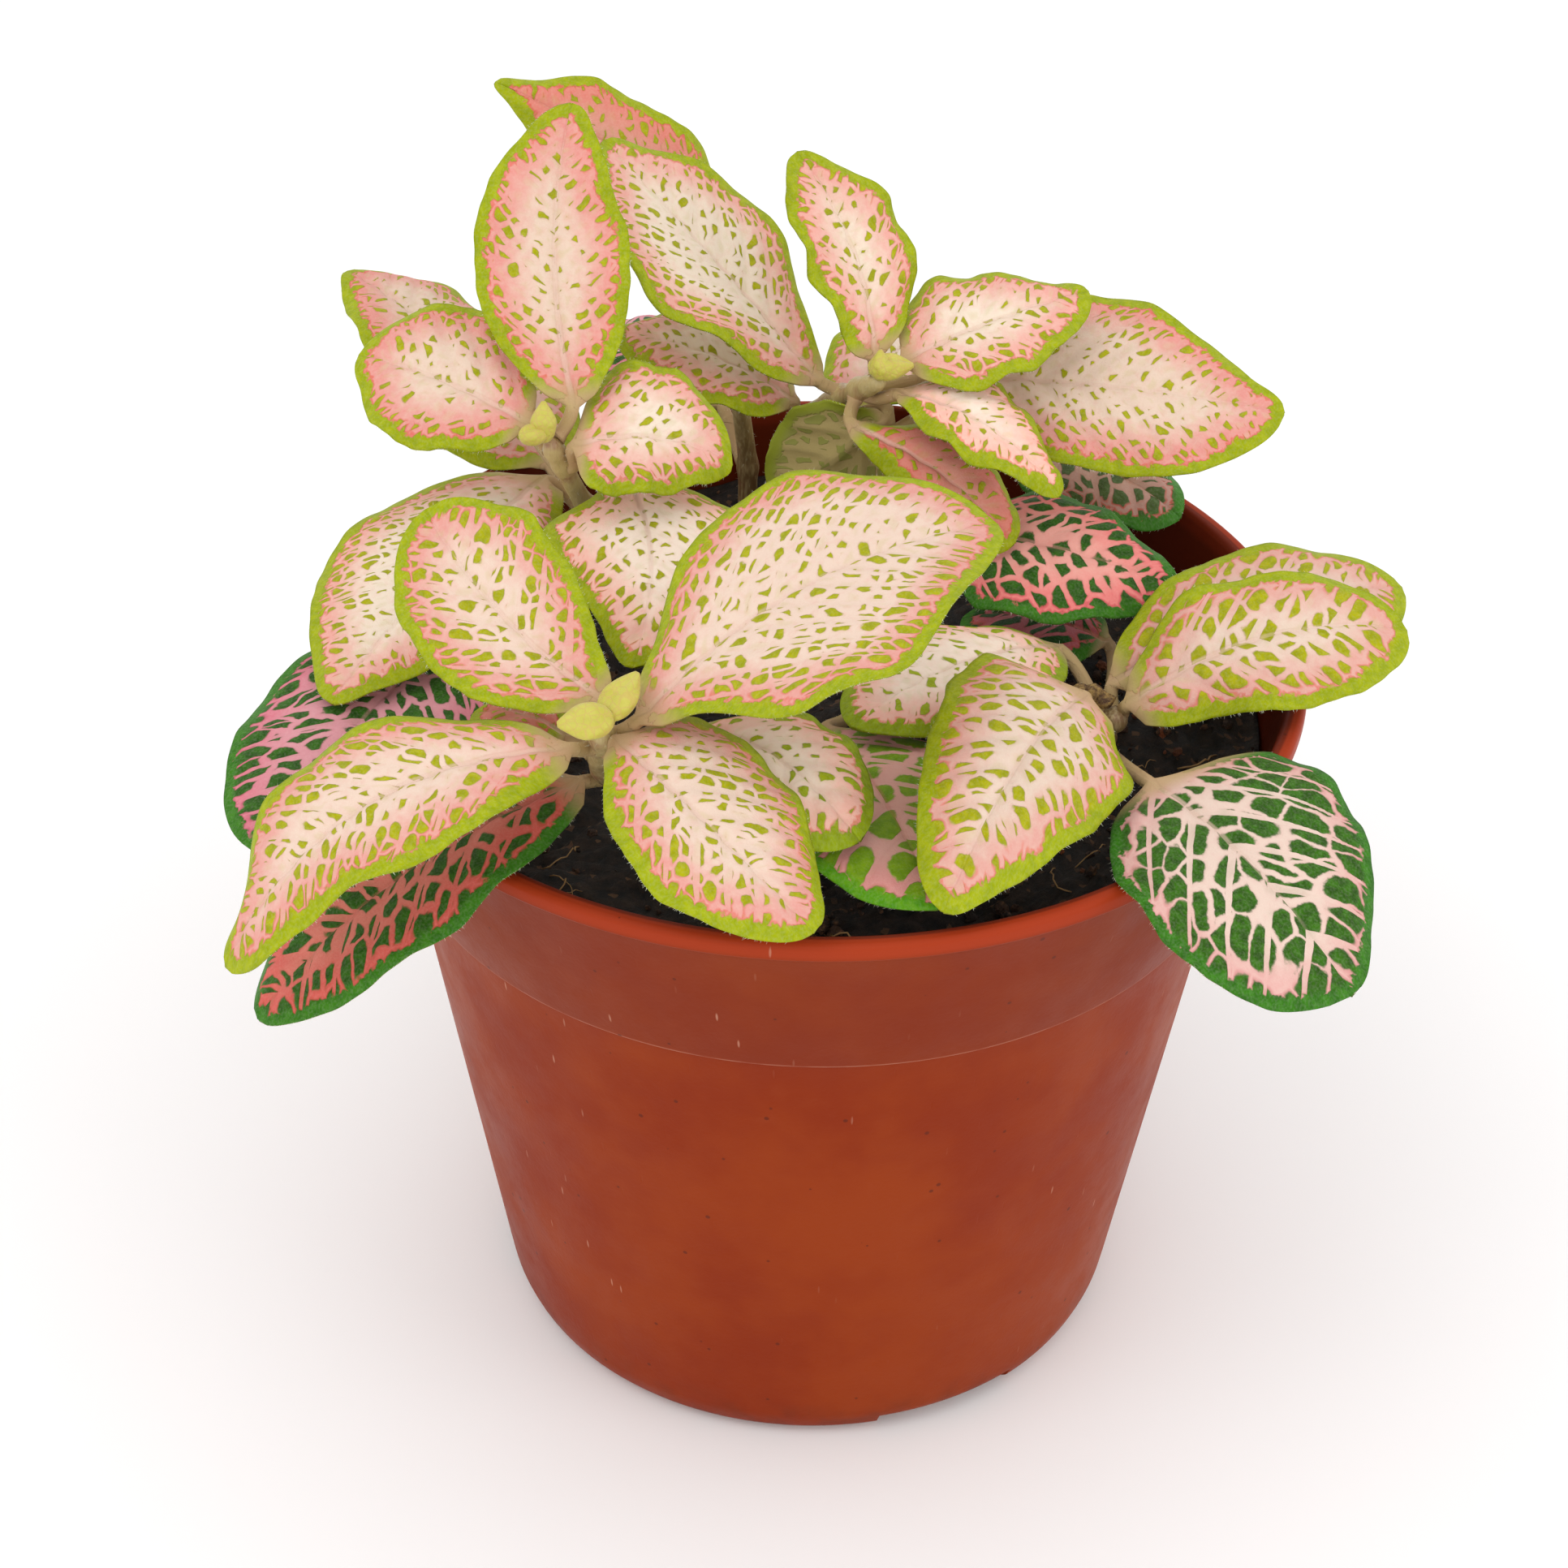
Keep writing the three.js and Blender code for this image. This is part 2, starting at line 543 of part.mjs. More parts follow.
// ---------------------------------------------------------------- assembly
const group = new THREE.Group();
group.name = "potted_nerve_plant";

function addPart(name, solid, colour) {
  const { vertProperties, triVerts, numProp } = solid.getMesh();
  const positions = new Float32Array(triVerts.length * 3);
  triVerts.forEach((vertex, index) => {
    const start = vertex * numProp;
    positions.set(vertProperties.subarray(start, start + 3), index * 3);
  });
  const soup = new THREE.BufferGeometry();
  soup.setAttribute("position", new THREE.BufferAttribute(positions, 3));
  const geometry = mergeVertices(soup, 1e-5);
  geometry.computeVertexNormals();
  const material = new THREE.MeshStandardMaterial({ color: colour, roughness: 0.6 });
  const mesh = new THREE.Mesh(geometry, material);
  mesh.name = name;
  group.add(mesh);
}

addPart("pot", potSolid(), COLOURS.pot);
addPart("soil", soilSolid(), COLOURS.soil);
for (const [name, path] of Object.entries(STEMS)) {
  addPart(name, tube(path, STEM_RADIUS, STEM_TIP_RADIUS, STEM_SIDES), COLOURS.stem);
}
for (const form of LEAVES) {
  addPart(form.name, leafSolid(form), COLOURS[form.age]);
}
for (const [name, scales] of Object.entries(BUDS)) {
  addPart(name, budSolid(scales), COLOURS.bud);
}

export default group;
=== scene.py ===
"""Looks of the potted nerve plant: finer leaves with veins, hairs, peat and pot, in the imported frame.

Lengths in the tables are millimetres, as in the frame's source. Blender objects are in metres.
"""

import math

import bpy
import numpy as np
from mathutils import Matrix, Vector


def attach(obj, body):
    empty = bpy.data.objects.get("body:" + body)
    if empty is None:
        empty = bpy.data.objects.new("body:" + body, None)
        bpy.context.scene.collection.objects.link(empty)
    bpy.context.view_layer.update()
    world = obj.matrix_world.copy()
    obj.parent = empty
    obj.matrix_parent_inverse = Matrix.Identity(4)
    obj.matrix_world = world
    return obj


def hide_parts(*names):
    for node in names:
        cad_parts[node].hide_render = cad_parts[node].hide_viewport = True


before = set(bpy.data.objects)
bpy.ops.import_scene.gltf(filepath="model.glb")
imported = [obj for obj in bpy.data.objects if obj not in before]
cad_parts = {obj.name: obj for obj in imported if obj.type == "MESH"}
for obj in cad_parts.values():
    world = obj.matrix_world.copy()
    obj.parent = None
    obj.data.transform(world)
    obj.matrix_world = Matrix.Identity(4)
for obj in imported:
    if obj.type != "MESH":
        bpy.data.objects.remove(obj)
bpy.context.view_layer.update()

MM = 0.001
UP = np.array([0.0, 0.0, 1.0])

# ---------------------------------------------------------------- the plant's own sizes
STEM_RADIUS = 1.4
STEM_TIP_RADIUS = 1.1
STEMS = {
    "stem_a": [(-22, -28, 78), (-22, -28, 92), (-25, -37, 104), (-24, -44, 114)],
    "stem_b": [(-22, 14, 78), (-22, 14, 94), (-30, 10, 111), (-33, 5, 121.5)],
    "stem_c": [(-6, 44, 78), (-6, 44, 94), (-3, 38, 106), (3, 29, 115), (7, 21, 121.5)],
    "stem_d": [(35, -8, 78), (35, -8, 90), (36, -14, 96)],
    "stem_e": [(-10, 47, 78), (-10, 47, 94), (-11, 44.5, 104), (-12, 42, 111)],
    "stem_f": [(6, 0, 78), (6, 0, 88.5), (4, -5, 92.5)],
}
PETIOLE_RADIUS = 0.85
BLADE_THICKNESS = 0.5
PUFF = 0.6


def leaf(stem, height, base, tip, wide, look, **more):
    """One leaf: where its petiole leaves the stem, the ends of its midrib, its width and its shape."""
    form = {
        "stem": stem,
        "height": height,
        "base": base,
        "tip": tip,
        "wide": wide,
        "look": look,
        "mid": 0.5,
        "roll": 0,
        "arch": 3,
        "cup": -1.5,
        "bend": 0,
        "skew": 0,
        "blunt": 0.6,
        "wave": (0.6, 3, 0),
        "left": None,
        "right": None,
    }
    form.update(more)
    return form


LEAVES = {
    "leaf_a1": leaf(
        "stem_a", 112, (-24.5, -40.2, 115.3), (-45.5, -20, 127), 22, "lime", mid=0.52, roll=20, arch=0,
        cup=1, bend=-1.8, wave=(0.7, 3, 1), left=(2.2, 6, 10, 10.5, 9.7, 5.9),
        right=(1.8, 4, 7.5, 9.8, 10, 6.2),
    ),
    "leaf_a2": leaf(
        "stem_a", 111.5, (-19.5, -43.3, 115), (20, -24, 129), 35, "broad", mid=0.55, arch=5, cup=1,
        bend=-0.5, wave=(0.8, 3, 0), left=(2.2, 6.5, 14.3, 18.5, 17.3, 11.2),
        right=(2.2, 7.3, 17.8, 21, 16.2, 7.6),
    ),
    "leaf_a3": leaf(
        "stem_a", 110, (-28.2, -45.8, 112), (-65.2, -62, 93), 22, "lime", mid=0.45, roll=10, arch=8, cup=-1,
        bend=1.8, wave=(1, 3, 1), left=(2, 5, 9.3, 9.4, 6.8, 5.4), right=(2.2, 6.2, 10.3, 11.7, 10, 3.2),
    ),
    "leaf_a4": leaf(
        "stem_a", 109.5, (-22, -45.8, 113.2), (0, -64, 101), 25, "lime", arch=5, cup=-2, bend=3.6,
        left=(5, 11.5, 13.4, 13.8, 11, 5.6), right=(2.2, 4.8, 8.6, 10.2, 9.6, 5.2),
    ),
    "leaf_a5": leaf("stem_a", 102.5, (-14, -30, 104), (5, -47, 101), 19, "dull_lime_lit_in_shade", roll=-5, arch=4),
    "leaf_a6": leaf(
        "stem_a", 106, (-28.6, -37.4, 108), (-39.5, -33.5, 108), 12, "rosy", arch=1.5, cup=-0.8,
    ),
    "leaf_a8": leaf(
        "stem_a", 101, (-27.5, -37, 101), (-63, -57, 81.5), 23, "salmon", mid=0.45, arch=4.5, cup=-1,
        left=(3, 5.6, 9.2, 10.8, 9.8, 6), right=(2.5, 6, 10.5, 12, 10.5, 6),
    ),
    "leaf_a7": leaf("stem_b", 95.5, (-40, 2, 99), (-64, -45, 96.5), 28, "rose_net", cup=-1),
    "leaf_b1": leaf(
        "stem_b", 121, (-30.2, 7.2, 125.8), (-31, 27, 155.5), 19, "pale", mid=0.42, arch=-2, cup=1,
        bend=-2.2, wave=(0.9, 3, 0), left=(2, 5.4, 9, 9.7, 8.8, 5), right=(1.8, 5, 8.4, 9.2, 6.9, 3.6),
    ),
    "leaf_b2": leaf(
        "stem_b", 119.5, (-35.9, 6.6, 123.2), (-57, 17, 126), 19, "pale", mid=0.55, roll=30, arch=1, cup=-1,
        bend=0.5, left=(2.6, 5, 7.8, 9.2, 8.4, 4.2), right=(2.6, 6, 9.6, 11.2, 10.3, 7),
    ),
    "leaf_b3": leaf(
        "stem_b", 117, (-29.4, 3.9, 121.8), (-11, 6, 118), 18, "lime_lit_in_shade", mid=0.42, roll=-30, arch=2, cup=-1,
        bend=-1.2, left=(3, 8.2, 11, 10.8, 9.2, 6), right=(3, 6.6, 7.4, 7.2, 5.6, 2.8),
    ),
    "leaf_b6": leaf(
        "stem_b", 109, (-24, 9, 113.5), (-22, -16, 103), 29, "glow", mid=0.42, cup=-1, bend=-2.5,
        left=(3, 9, 13, 13, 9.6, 5), right=(2, 5, 12.4, 10.9, 7.6, 3.4),
    ),
    "leaf_b7": leaf(
        "stem_b", 107, (-35, 15.5, 109.5), (-57, -24, 102.5), 24, "lime_lit_in_shade", mid=0.45, arch=2, cup=-1,
        left=(3, 6, 9.6, 10.6, 8.6, 4), right=(4, 9.5, 14.4, 15.2, 12.2, 5.9),
    ),
    "leaf_b4": leaf(
        "stem_b", 99, (-42, 40, 108), (-64, 62, 113), 22, "pale", roll=-10, arch=1,
        left=(2, 5, 9, 9.4, 7, 3.4), right=(2, 6, 11, 12.4, 11.4, 7.6),
    ),
    "leaf_c1": leaf(
        "stem_c", 114, (-1, 30.7, 116), (-28.5, 45, 141.5), 26, "lime_lit_in_shade", arch=1, cup=1, bend=-0.6,
        left=(2.4, 6.8, 10.8, 15, 13.6, 6.4), right=(1.8, 3.6, 9.4, 12.6, 10.6, 4.9),
    ),
    "leaf_c3": leaf(
        "stem_c", 121, (6, 23, 124), (-4, 34, 146), 17, "lime_lit_in_shade", arch=-1, cup=1, bend=3.4, wave=(0.9, 3, 1),
        left=(1.8, 4.4, 6.6, 8, 7.2, 4.6), right=(2, 5.4, 8, 8, 7, 3.4),
    ),
    "leaf_c4": leaf(
        "stem_c", 119, (10.2, 23.4, 123.2), (32.6, 30, 129.6), 20, "lime_lit_in_shade", roll=-15, arch=1, cup=-1,
        left=(3, 8, 10.8, 9.4, 6.6, 2.8), right=(2.6, 6, 8.6, 8.5, 7.3, 4.2),
    ),
    "leaf_c5": leaf(
        "stem_c", 117.5, (9.8, 20, 120.1), (29, 7.5, 113.6), 14, "glow", mid=0.4, cup=-1,
        left=(3.6, 8, 9.3, 8.2, 5.4, 3), right=(1.5, 3, 5.2, 6.2, 4.7, 2.2),
    ),
    "leaf_c6": leaf(
        "stem_c", 114, (14, 31.3, 116.2), (57, 20, 118.6), 25, "pale", mid=0.47, roll=-30, arch=2, cup=-1,
        left=(2.4, 7.6, 13, 13.8, 9.8, 4), right=(2.2, 6, 10, 11.4, 11.4, 6.6),
    ),
    "leaf_c7": leaf(
        "stem_c", 117, (3.8, 20.6, 115), (24, 11, 104.5), 14, "rosy", roll=-20, cup=-2,
        left=(1.2, 2.6, 6, 7, 6.4, 4), right=(1.3, 2.2, 3.2, 5, 6.4, 4),
    ),
    "leaf_c8": leaf(
        "stem_c", 92, (17, 19, 101), (44, 7, 101), 24, "hot_net_lit_in_shade", roll=-15, bend=1.3,
        left=(2.6, 6.8, 10, 10.2, 7.4, 4.2), right=(3, 7, 11, 10.8, 9.2, 5.4),
    ),
    "leaf_c9": leaf("stem_c", 96, (25, 43, 99), (46, 28, 98), 16, "dull_net", roll=-10),
    "leaf_c10": leaf(
        "stem_c", 111.5, (8, 24.4, 114), (-6, 25.2, 101), 16, "reverse", roll=-104, arch=1, cup=0,
        left=(1.5, 3.2, 6.6, 8.2, 7, 4.4), right=(1.5, 5, 8, 8, 6.6, 4),
    ),
    "leaf_c2": leaf(
        "stem_e", 110, (-4, 32, 112), (-27, 36, 119), 22, "lime_lit_in_shade", arch=2, left=(2, 5, 8, 8.4, 7, 4),
        right=(2, 6, 11, 12, 10, 5.6),
    ),
    "leaf_b5": leaf(
        "stem_e", 107, (-15, 53, 121), (-43, 58, 143), 15, "rosy", mid=0.4, roll=40, arch=2, bend=2,
        left=(2, 4.8, 7, 6.8, 5, 2), right=(2.4, 6.2, 9.8, 8.4, 7.4, 2.6),
    ),
    "leaf_d1": leaf(
        "stem_d", 95, (37.6, -14, 98.1), (71, -5, 103.2), 20, "lime_old", mid=0.45, roll=-30, arch=4,
        cup=-1, bend=-2.2, left=(2.4, 5, 9.2, 8.6, 7.9, 5.2), right=(2.8, 5.6, 7.4, 9.6, 9.3, 5.6),
    ),
    "leaf_d2": leaf("stem_d", 93.5, (36, -8, 97), (72, 8, 101), 22, "lime_old", roll=-15, arch=4, cup=-1),
    "leaf_d3": leaf(
        "stem_d", 94.5, (31, -21.7, 104), (14.3, -57.5, 99.3), 27, "lime_old", mid=0.38, roll=24, arch=6,
        cup=-2, bend=2, left=(4, 7, 12.2, 11.4, 8.5, 4.2), right=(6, 11.6, 12, 10.5, 8.7, 5),
    ),
    "leaf_d4": leaf(
        "stem_d", 88.3, (39.4, -30.5, 97.6), (60.8, -56, 87.3), 33, "white_net", mid=0.45, arch=4.5, cup=-1,
        bend=1.2, blunt=0.5, left=(7, 16.6, 18.4, 17.2, 13, 6.4), right=(3, 9.8, 14.4, 15.4, 15, 10.4),
    ),
    "leaf_d5": leaf("stem_d", 91.5, (29, 0, 96.5), (4, -21, 98.5), 21, "dull_lime_lit_in_shade", cup=-1),
    "leaf_d6": leaf("stem_d", 89, (36, 8, 92), (18, 14, 91), 18, "dark_net", arch=2, cup=-1),
    "leaf_e1": leaf("stem_f", 91, (1, -14, 93), (14, -54, 97), 28, "green_net_lit_in_shade", cup=-1),
    "leaf_g1": leaf("stem_e", 93, (-14, 55, 98), (-34, 82, 93), 22, "rose_net", arch=4),
    "leaf_g2": leaf("stem_c", 98.5, (2, 52, 100), (24, 76, 99), 22, "lime_lit_in_shade", arch=4),
    "leaf_g3": leaf("stem_c", 90.5, (16, 56, 98), (48, 62, 96.5), 22, "rose_net"),
    "leaf_g4": leaf("stem_b", 93, (-36, 40, 97), (-52, 62, 95), 22, "lime_old"),
}

# ---------------------------------------------------------------- shapes of the blades
BLADE_RINGS = 84
BLADE_COLUMNS = 46
PETIOLE_RINGS = 10
LOOP_GAP = 0.2
PUCKER = 0.28
VEIN_ANGLE = 0.85
VEIN_CURVE = 0.018
MARGIN_STATIONS = np.array([0, 0.1, 0.3, 0.5, 0.7, 0.9, 1])


def unit(vector):
    """The vector or array of vectors at length one."""
    return vector / np.linalg.norm(vector, axis=-1, keepdims=True)


def blade_axes(form):
    """Base, chord, and the blade's forward, right and up directions."""
    base = np.array(form["base"], float)
    chord = np.array(form["tip"], float) - base
    forward = unit(chord)
    level = unit(np.cross(forward, UP))
    upright = np.cross(level, forward)
    tilt = math.radians(form["roll"])
    right = math.cos(tilt) * level + math.sin(tilt) * upright
    up = math.cos(tilt) * upright - math.sin(tilt) * level
    return base, chord, forward, right, up


def blade_taper(form, along):
    """Share of the greatest width at each place along the midrib."""
    inside = np.clip(along, 1e-6, 1 - 1e-6)
    rise = form["blunt"] * form["mid"] / (1 - form["mid"])
    return (inside / form["mid"]) ** rise * ((1 - inside) / (1 - form["mid"])) ** form["blunt"]


def margin_reach(widths, along):
    """Distance from midrib to margin, through the widths given at the stations, round at the tip."""
    squares = np.append(np.square(np.array(widths, float)), 0.0)
    slopes = np.diff(squares) / np.diff(MARGIN_STATIONS)
    before = np.append(slopes[:1], slopes)
    after = np.append(slopes, slopes[-1:])
    both = np.where(before * after > 0, before + after, 1.0)
    tangents = np.where(before * after > 0, 2 * before * after / both, 0.0)
    span = np.clip(np.searchsorted(MARGIN_STATIONS, along, side="right") - 1, 0, len(slopes) - 1)
    run = MARGIN_STATIONS[span + 1] - MARGIN_STATIONS[span]
    share = (along - MARGIN_STATIONS[span]) / run
    near = squares[span] * (1 + 2 * share) + tangents[span] * run * share
    far = squares[span + 1] * (3 - 2 * share) - tangents[span + 1] * run * (1 - share)
    return np.sqrt(np.maximum(near * (1 - share) ** 2 + far * share**2, 0.0))


def half_width(form, along, side):
    """Distance from the midrib to the margin, in millimetres."""
    least = np.interp(along, [0, 0.12, 0.9, 1], [0.75, 0.75, 0.3, 0.12])
    half = form["wide"] / 2 * blade_taper(form, along) * (1 + form["skew"] * np.sign(side))
    if form["left"]:
        half = np.where(side < 0, margin_reach(form["left"], along), margin_reach(form["right"], along))
    crenate = 0.1 * np.sin(along * 29 + form["wide"] + 3 * np.sign(side))
    crenate += 0.05 * np.sin(along * 67 + 2 * form["wide"] - np.sign(side))
    fade = np.clip((1 - along) * 8, 0, 1) * np.clip(along * 8, 0, 1)
    return np.maximum(half + crenate * fade, least)


def blade_point(form, along, side):
    """Middle surface of a blade: along from 0 at its base to 1 at its tip, side from -1 to 1."""
    base, chord, _, right, up = blade_axes(form)
    taper = blade_taper(form, along)
    out = np.abs(side)
    amplitude, count, phase = form["wave"]
    lag = np.where(side > 0, 0.0, 2.1)
    ripple = np.sin(2 * math.pi * count * along + phase + lag)
    margin = amplitude * np.sqrt(taper) * out**3 * ripple
    lift = form["cup"] * taper * out**1.6 + PUFF * taper * np.sin(math.pi * out) + margin
    bow = 4 * along * (1 - along)
    across = form["bend"] * bow + half_width(form, along, side) * side
    return (
        base
        + chord * along[..., None]
        + up * (form["arch"] * bow + lift)[..., None]
        + right * across[..., None]
    )


def blade_normal(form, along, side):
    """Upward normals of the middle surface."""
    step = 0.012
    before = np.maximum(along - step, 0.01)
    after = np.minimum(along + step, 0.99)
    left = np.maximum(side - step * 3, -1)
    right = np.minimum(side + step * 3, 1)
    lengthwise = blade_point(form, after, side) - blade_point(form, before, side)
    crosswise = blade_point(form, along, right) - blade_point(form, along, left)
    return unit(np.cross(crosswise, lengthwise))


def vein_phase(along_mm, across_mm):
    """Constant along each side vein, in millimetres of midrib."""
    reach = np.abs(across_mm)
    return along_mm - VEIN_ANGLE * reach - VEIN_CURVE * reach**2


def vein_distance(form, phase):
    """Distance to the nearest side vein."""
    spacing = LOOKS[form["look"]]["ribs"]
    turn = phase / spacing
    return np.abs(turn - np.round(turn)) * spacing * 0.72


def rim_distance(form, length, along_mm, across_mm):
    """Distance inwards from the flattened blade's outline."""
    steps = np.linspace(0, 1, 160)
    sides = []
    for side in (-1.0, 1.0):
        half = half_width(form, steps, np.full_like(steps, side))
        sides.append(np.stack([steps * length, side * half], axis=-1))
    outline = np.concatenate(sides)
    flat = np.stack([along_mm, across_mm], axis=-1).reshape(-1, 1, 2)
    nearest = np.sqrt(((flat - outline[None]) ** 2).sum(-1)).min(1)
    return nearest.reshape(along_mm.shape)


def on_stem(stem, height):
    """The stem's axis and direction at a height."""
    path = STEMS[stem]
    for low, high in zip(path, path[1:]):
        if height <= high[2] or high is path[-1]:
            low, high = np.array(low, float), np.array(high, float)
            share = (height - low[2]) / (high[2] - low[2])
            return low + (high - low) * share, unit(high - low)
    raise ValueError(stem)


def hermite(start, start_pull, end, end_pull, count):
    """A smooth run of points between two places with given pulls, and its directions."""
    t = np.linspace(0, 1, count)[:, None]
    points = (
        (2 * t**3 - 3 * t**2 + 1) * start
        + (t**3 - 2 * t**2 + t) * start_pull
        + (3 * t**2 - 2 * t**3) * end
        + (t**3 - t**2) * end_pull
    )
    slopes = (
        (6 * t**2 - 6 * t) * start
        + (3 * t**2 - 4 * t + 1) * start_pull
        + (6 * t - 6 * t**2) * end
        + (3 * t**2 - 2 * t) * end_pull
    )
    return points, unit(slopes)


def petiole_path(form):
    """Points and directions from inside the stem's skin to the blade's base."""
    node, stem_way = on_stem(form["stem"], form["height"])
    base = np.array(form["base"], float)
    stalk = unit(base - node)
    outward = unit(stalk - stem_way * np.dot(stalk, stem_way))
    start = node + outward * STEM_RADIUS * 0.8
    near = blade_point(form, np.array(0.1), np.array(0.0))
    turn = unit(unit(base - start) + unit(near - base))
    end = base - 0.6 * turn
    pull = min(0.9 * np.linalg.norm(end - start), 9.0)
    return hermite(start, outward * pull, end, turn * pull, PETIOLE_RINGS)


def leaf_relief(form, along, length, across_mm, rim):
    """How far the sheet puckers up between its side veins."""
    phase = vein_phase(along * length, across_mm)
    pillow = 1 - np.exp(-((vein_distance(form, phase) / 0.8) ** 2))
    fade = np.clip((rim - 0.8) / 2.0, 0, 1) * np.clip(along * 9, 0, 1)
    return PUCKER * pillow * fade


def leaf_loops(form):
    """Rings of points round the petiole and blade, with the values that the materials read."""
    _, chord, _, right, _ = blade_axes(form)
    length = float(np.linalg.norm(chord))
    columns = BLADE_COLUMNS
    ring_size = 2 * (columns + 1)
    path, ways = petiole_path(form)
    angles = np.linspace(math.pi - LOOP_GAP, LOOP_GAP, columns + 1)
    angles = np.concatenate([angles, -angles[::-1]])
    loops, vein, zone, part = [], [], [], []
    for index, (centre, way) in enumerate(zip(path, ways)):
        across = unit(right - way * np.dot(right, way))
        above = np.cross(across, way)
        flare = 1 + 0.35 * max(0.0, 1 - index / 2)
        radius = PETIOLE_RADIUS * flare
        ring = (
            centre
            + across * (radius * np.cos(angles))[:, None]
            + above * (radius * np.sin(angles))[:, None]
        )
        loops.append(ring)
        place = (index - PETIOLE_RINGS) * 1.2
        vein.append(np.stack([np.full(ring_size, place), np.cos(angles), np.full(ring_size, place)], -1))
        zone.append(np.tile([3.0, 0.0, 1.0], (ring_size, 1)))
        part.append(np.tile([0.0, 0.0, 0.0], (ring_size, 1)))

    turn = np.linspace(0, 1, BLADE_RINGS)
    along = 0.02 + 0.98 * (0.75 * turn + 0.25 * np.sin(turn * math.pi / 2))
    side = np.linspace(-1, 1, columns + 1)
    a, v = np.meshgrid(along, side, indexing="ij")
    across_mm = half_width(form, a, v) * v
    rim = rim_distance(form, length, a * length, across_mm)
    middle = blade_point(form, a, v)
    normal = blade_normal(form, a, v)
    relief = leaf_relief(form, a, length, across_mm, rim)
    thickness = BLADE_THICKNESS * np.interp(rim, [0, 1.2], [0.5, 1.0])
    ebb = np.interp(a, [0, 0.15, 1], [0.4, 1, 0.35])
    groove = 0.42 * ebb * np.exp(-((across_mm / 0.65) ** 2)) * np.clip((1 - a) * 6, 0, 1)
    rib = np.interp(a, [0, 0.1, 1], [0.85, 0.75, 0.1]) * np.exp(-((across_mm / 0.7) ** 2))
    side_rib = 0.12 * np.exp(-((vein_distance(form, vein_phase(a * length, across_mm)) / 0.5) ** 2))
    side_rib = side_rib * np.clip(rim / 3, 0, 1)
    over = middle + normal * (relief + thickness / 2 - groove)[..., None]
    under = middle + normal * (relief - thickness / 2 - rib - side_rib)[..., None]
    phase = vein_phase(a * length, across_mm)
    reach = np.abs(v)
    blade = np.clip((a - 0.01) * 14, 0, 1)
    for row in range(BLADE_RINGS):
        loops.append(np.concatenate([over[row], under[row][::-1]]))
        for store, first, second, third in (
            (vein, phase, across_mm, a * length),
            (zone, rim, reach, None),
            (part, a, blade, relief),
        ):
            top_third = np.ones(columns + 1) if third is None else third[row]
            low_third = np.zeros(columns + 1) if third is None else third[row][::-1]
            top = np.stack([first[row], second[row], top_third], -1)
            low = np.stack([first[row][::-1], second[row][::-1], low_third], -1)
            store.append(np.concatenate([top, low]))
    return [np.array(block) for block in (loops, vein, zone, part)]


def loft_faces(rings, ring_size, columns):
    """Quads between neighbouring rings, and the two flat ends."""
    faces = []
    for ring in range(rings - 1):
        low, high = ring * ring_size, (ring + 1) * ring_size
        for place in range(ring_size):
            after = (place + 1) % ring_size
            faces.append((low + place, low + after, high + after, high + place))
    last = (rings - 1) * ring_size
    for column in range(columns):
        back = ring_size - 1 - column
        faces.append((column, back, back - 1, column + 1))
        faces.append((last + column, last + column + 1, last + back - 1, last + back))
    return faces


def loft_uvs(rings, ring_size, columns):
    """Places on the unit square: upper side on the left half, underside on the right."""
    half = columns + 1
    across = np.concatenate([np.linspace(0.01, 0.48, half), np.linspace(0.51, 0.975, half)])
    rows = np.linspace(0.02, 0.98, rings)
    uvs = []
    for ring in range(rings - 1):
        for place in range(ring_size):
            here = across[place]
            there = across[place + 1] if place + 1 < ring_size else 0.995
            low, high = rows[ring], rows[ring + 1]
            uvs += [(here, low), (there, low), (there, high), (here, high)]
    for column in range(columns):
        start, end = across[column], across[column + 1]
        uvs += [(start, 0.002), (start, 0.015), (end, 0.015), (end, 0.002)]
        uvs += [(start, 0.985), (end, 0.985), (end, 0.998), (start, 0.998)]
    return uvs


def add_mesh(name, points, faces, smooth=True):
    """A mesh object from millimetre points."""
    mesh = bpy.data.meshes.new(name)
    mesh.from_pydata([tuple(point) for point in np.asarray(points) * MM], [], faces)
    mesh.update()
    mesh.polygons.foreach_set("use_smooth", [smooth] * len(mesh.polygons))
    piece = bpy.data.objects.new(name, mesh)
    bpy.context.scene.collection.objects.link(piece)
    return piece


def store_vector(piece, name, values):
    """Keeps one vector a vertex for the material."""
    layer = piece.data.attributes.new(name, "FLOAT_VECTOR", "POINT")
    layer.data.foreach_set("vector", np.asarray(values, float).reshape(-1))


def store_uvs(piece, uvs):
    """Keeps the layout that a bake can use."""
    layer = piece.data.uv_layers.new(name="OFBake")
    layer.data.foreach_set("uv", np.asarray(uvs, float).reshape(-1))


def build_leaf(name, form):
    """The finer leaf that stands for a node."""
    loops, vein, zone, part = leaf_loops(form)
    rings, ring_size = loops.shape[:2]
    faces = loft_faces(rings, ring_size, BLADE_COLUMNS)
    piece = add_mesh("fine_" + name, loops.reshape(-1, 3), faces)
    store_uvs(piece, loft_uvs(rings, ring_size, BLADE_COLUMNS))
    store_vector(piece, "vein", vein)
    store_vector(piece, "zone", zone)
    store_vector(piece, "part", part)
    return piece

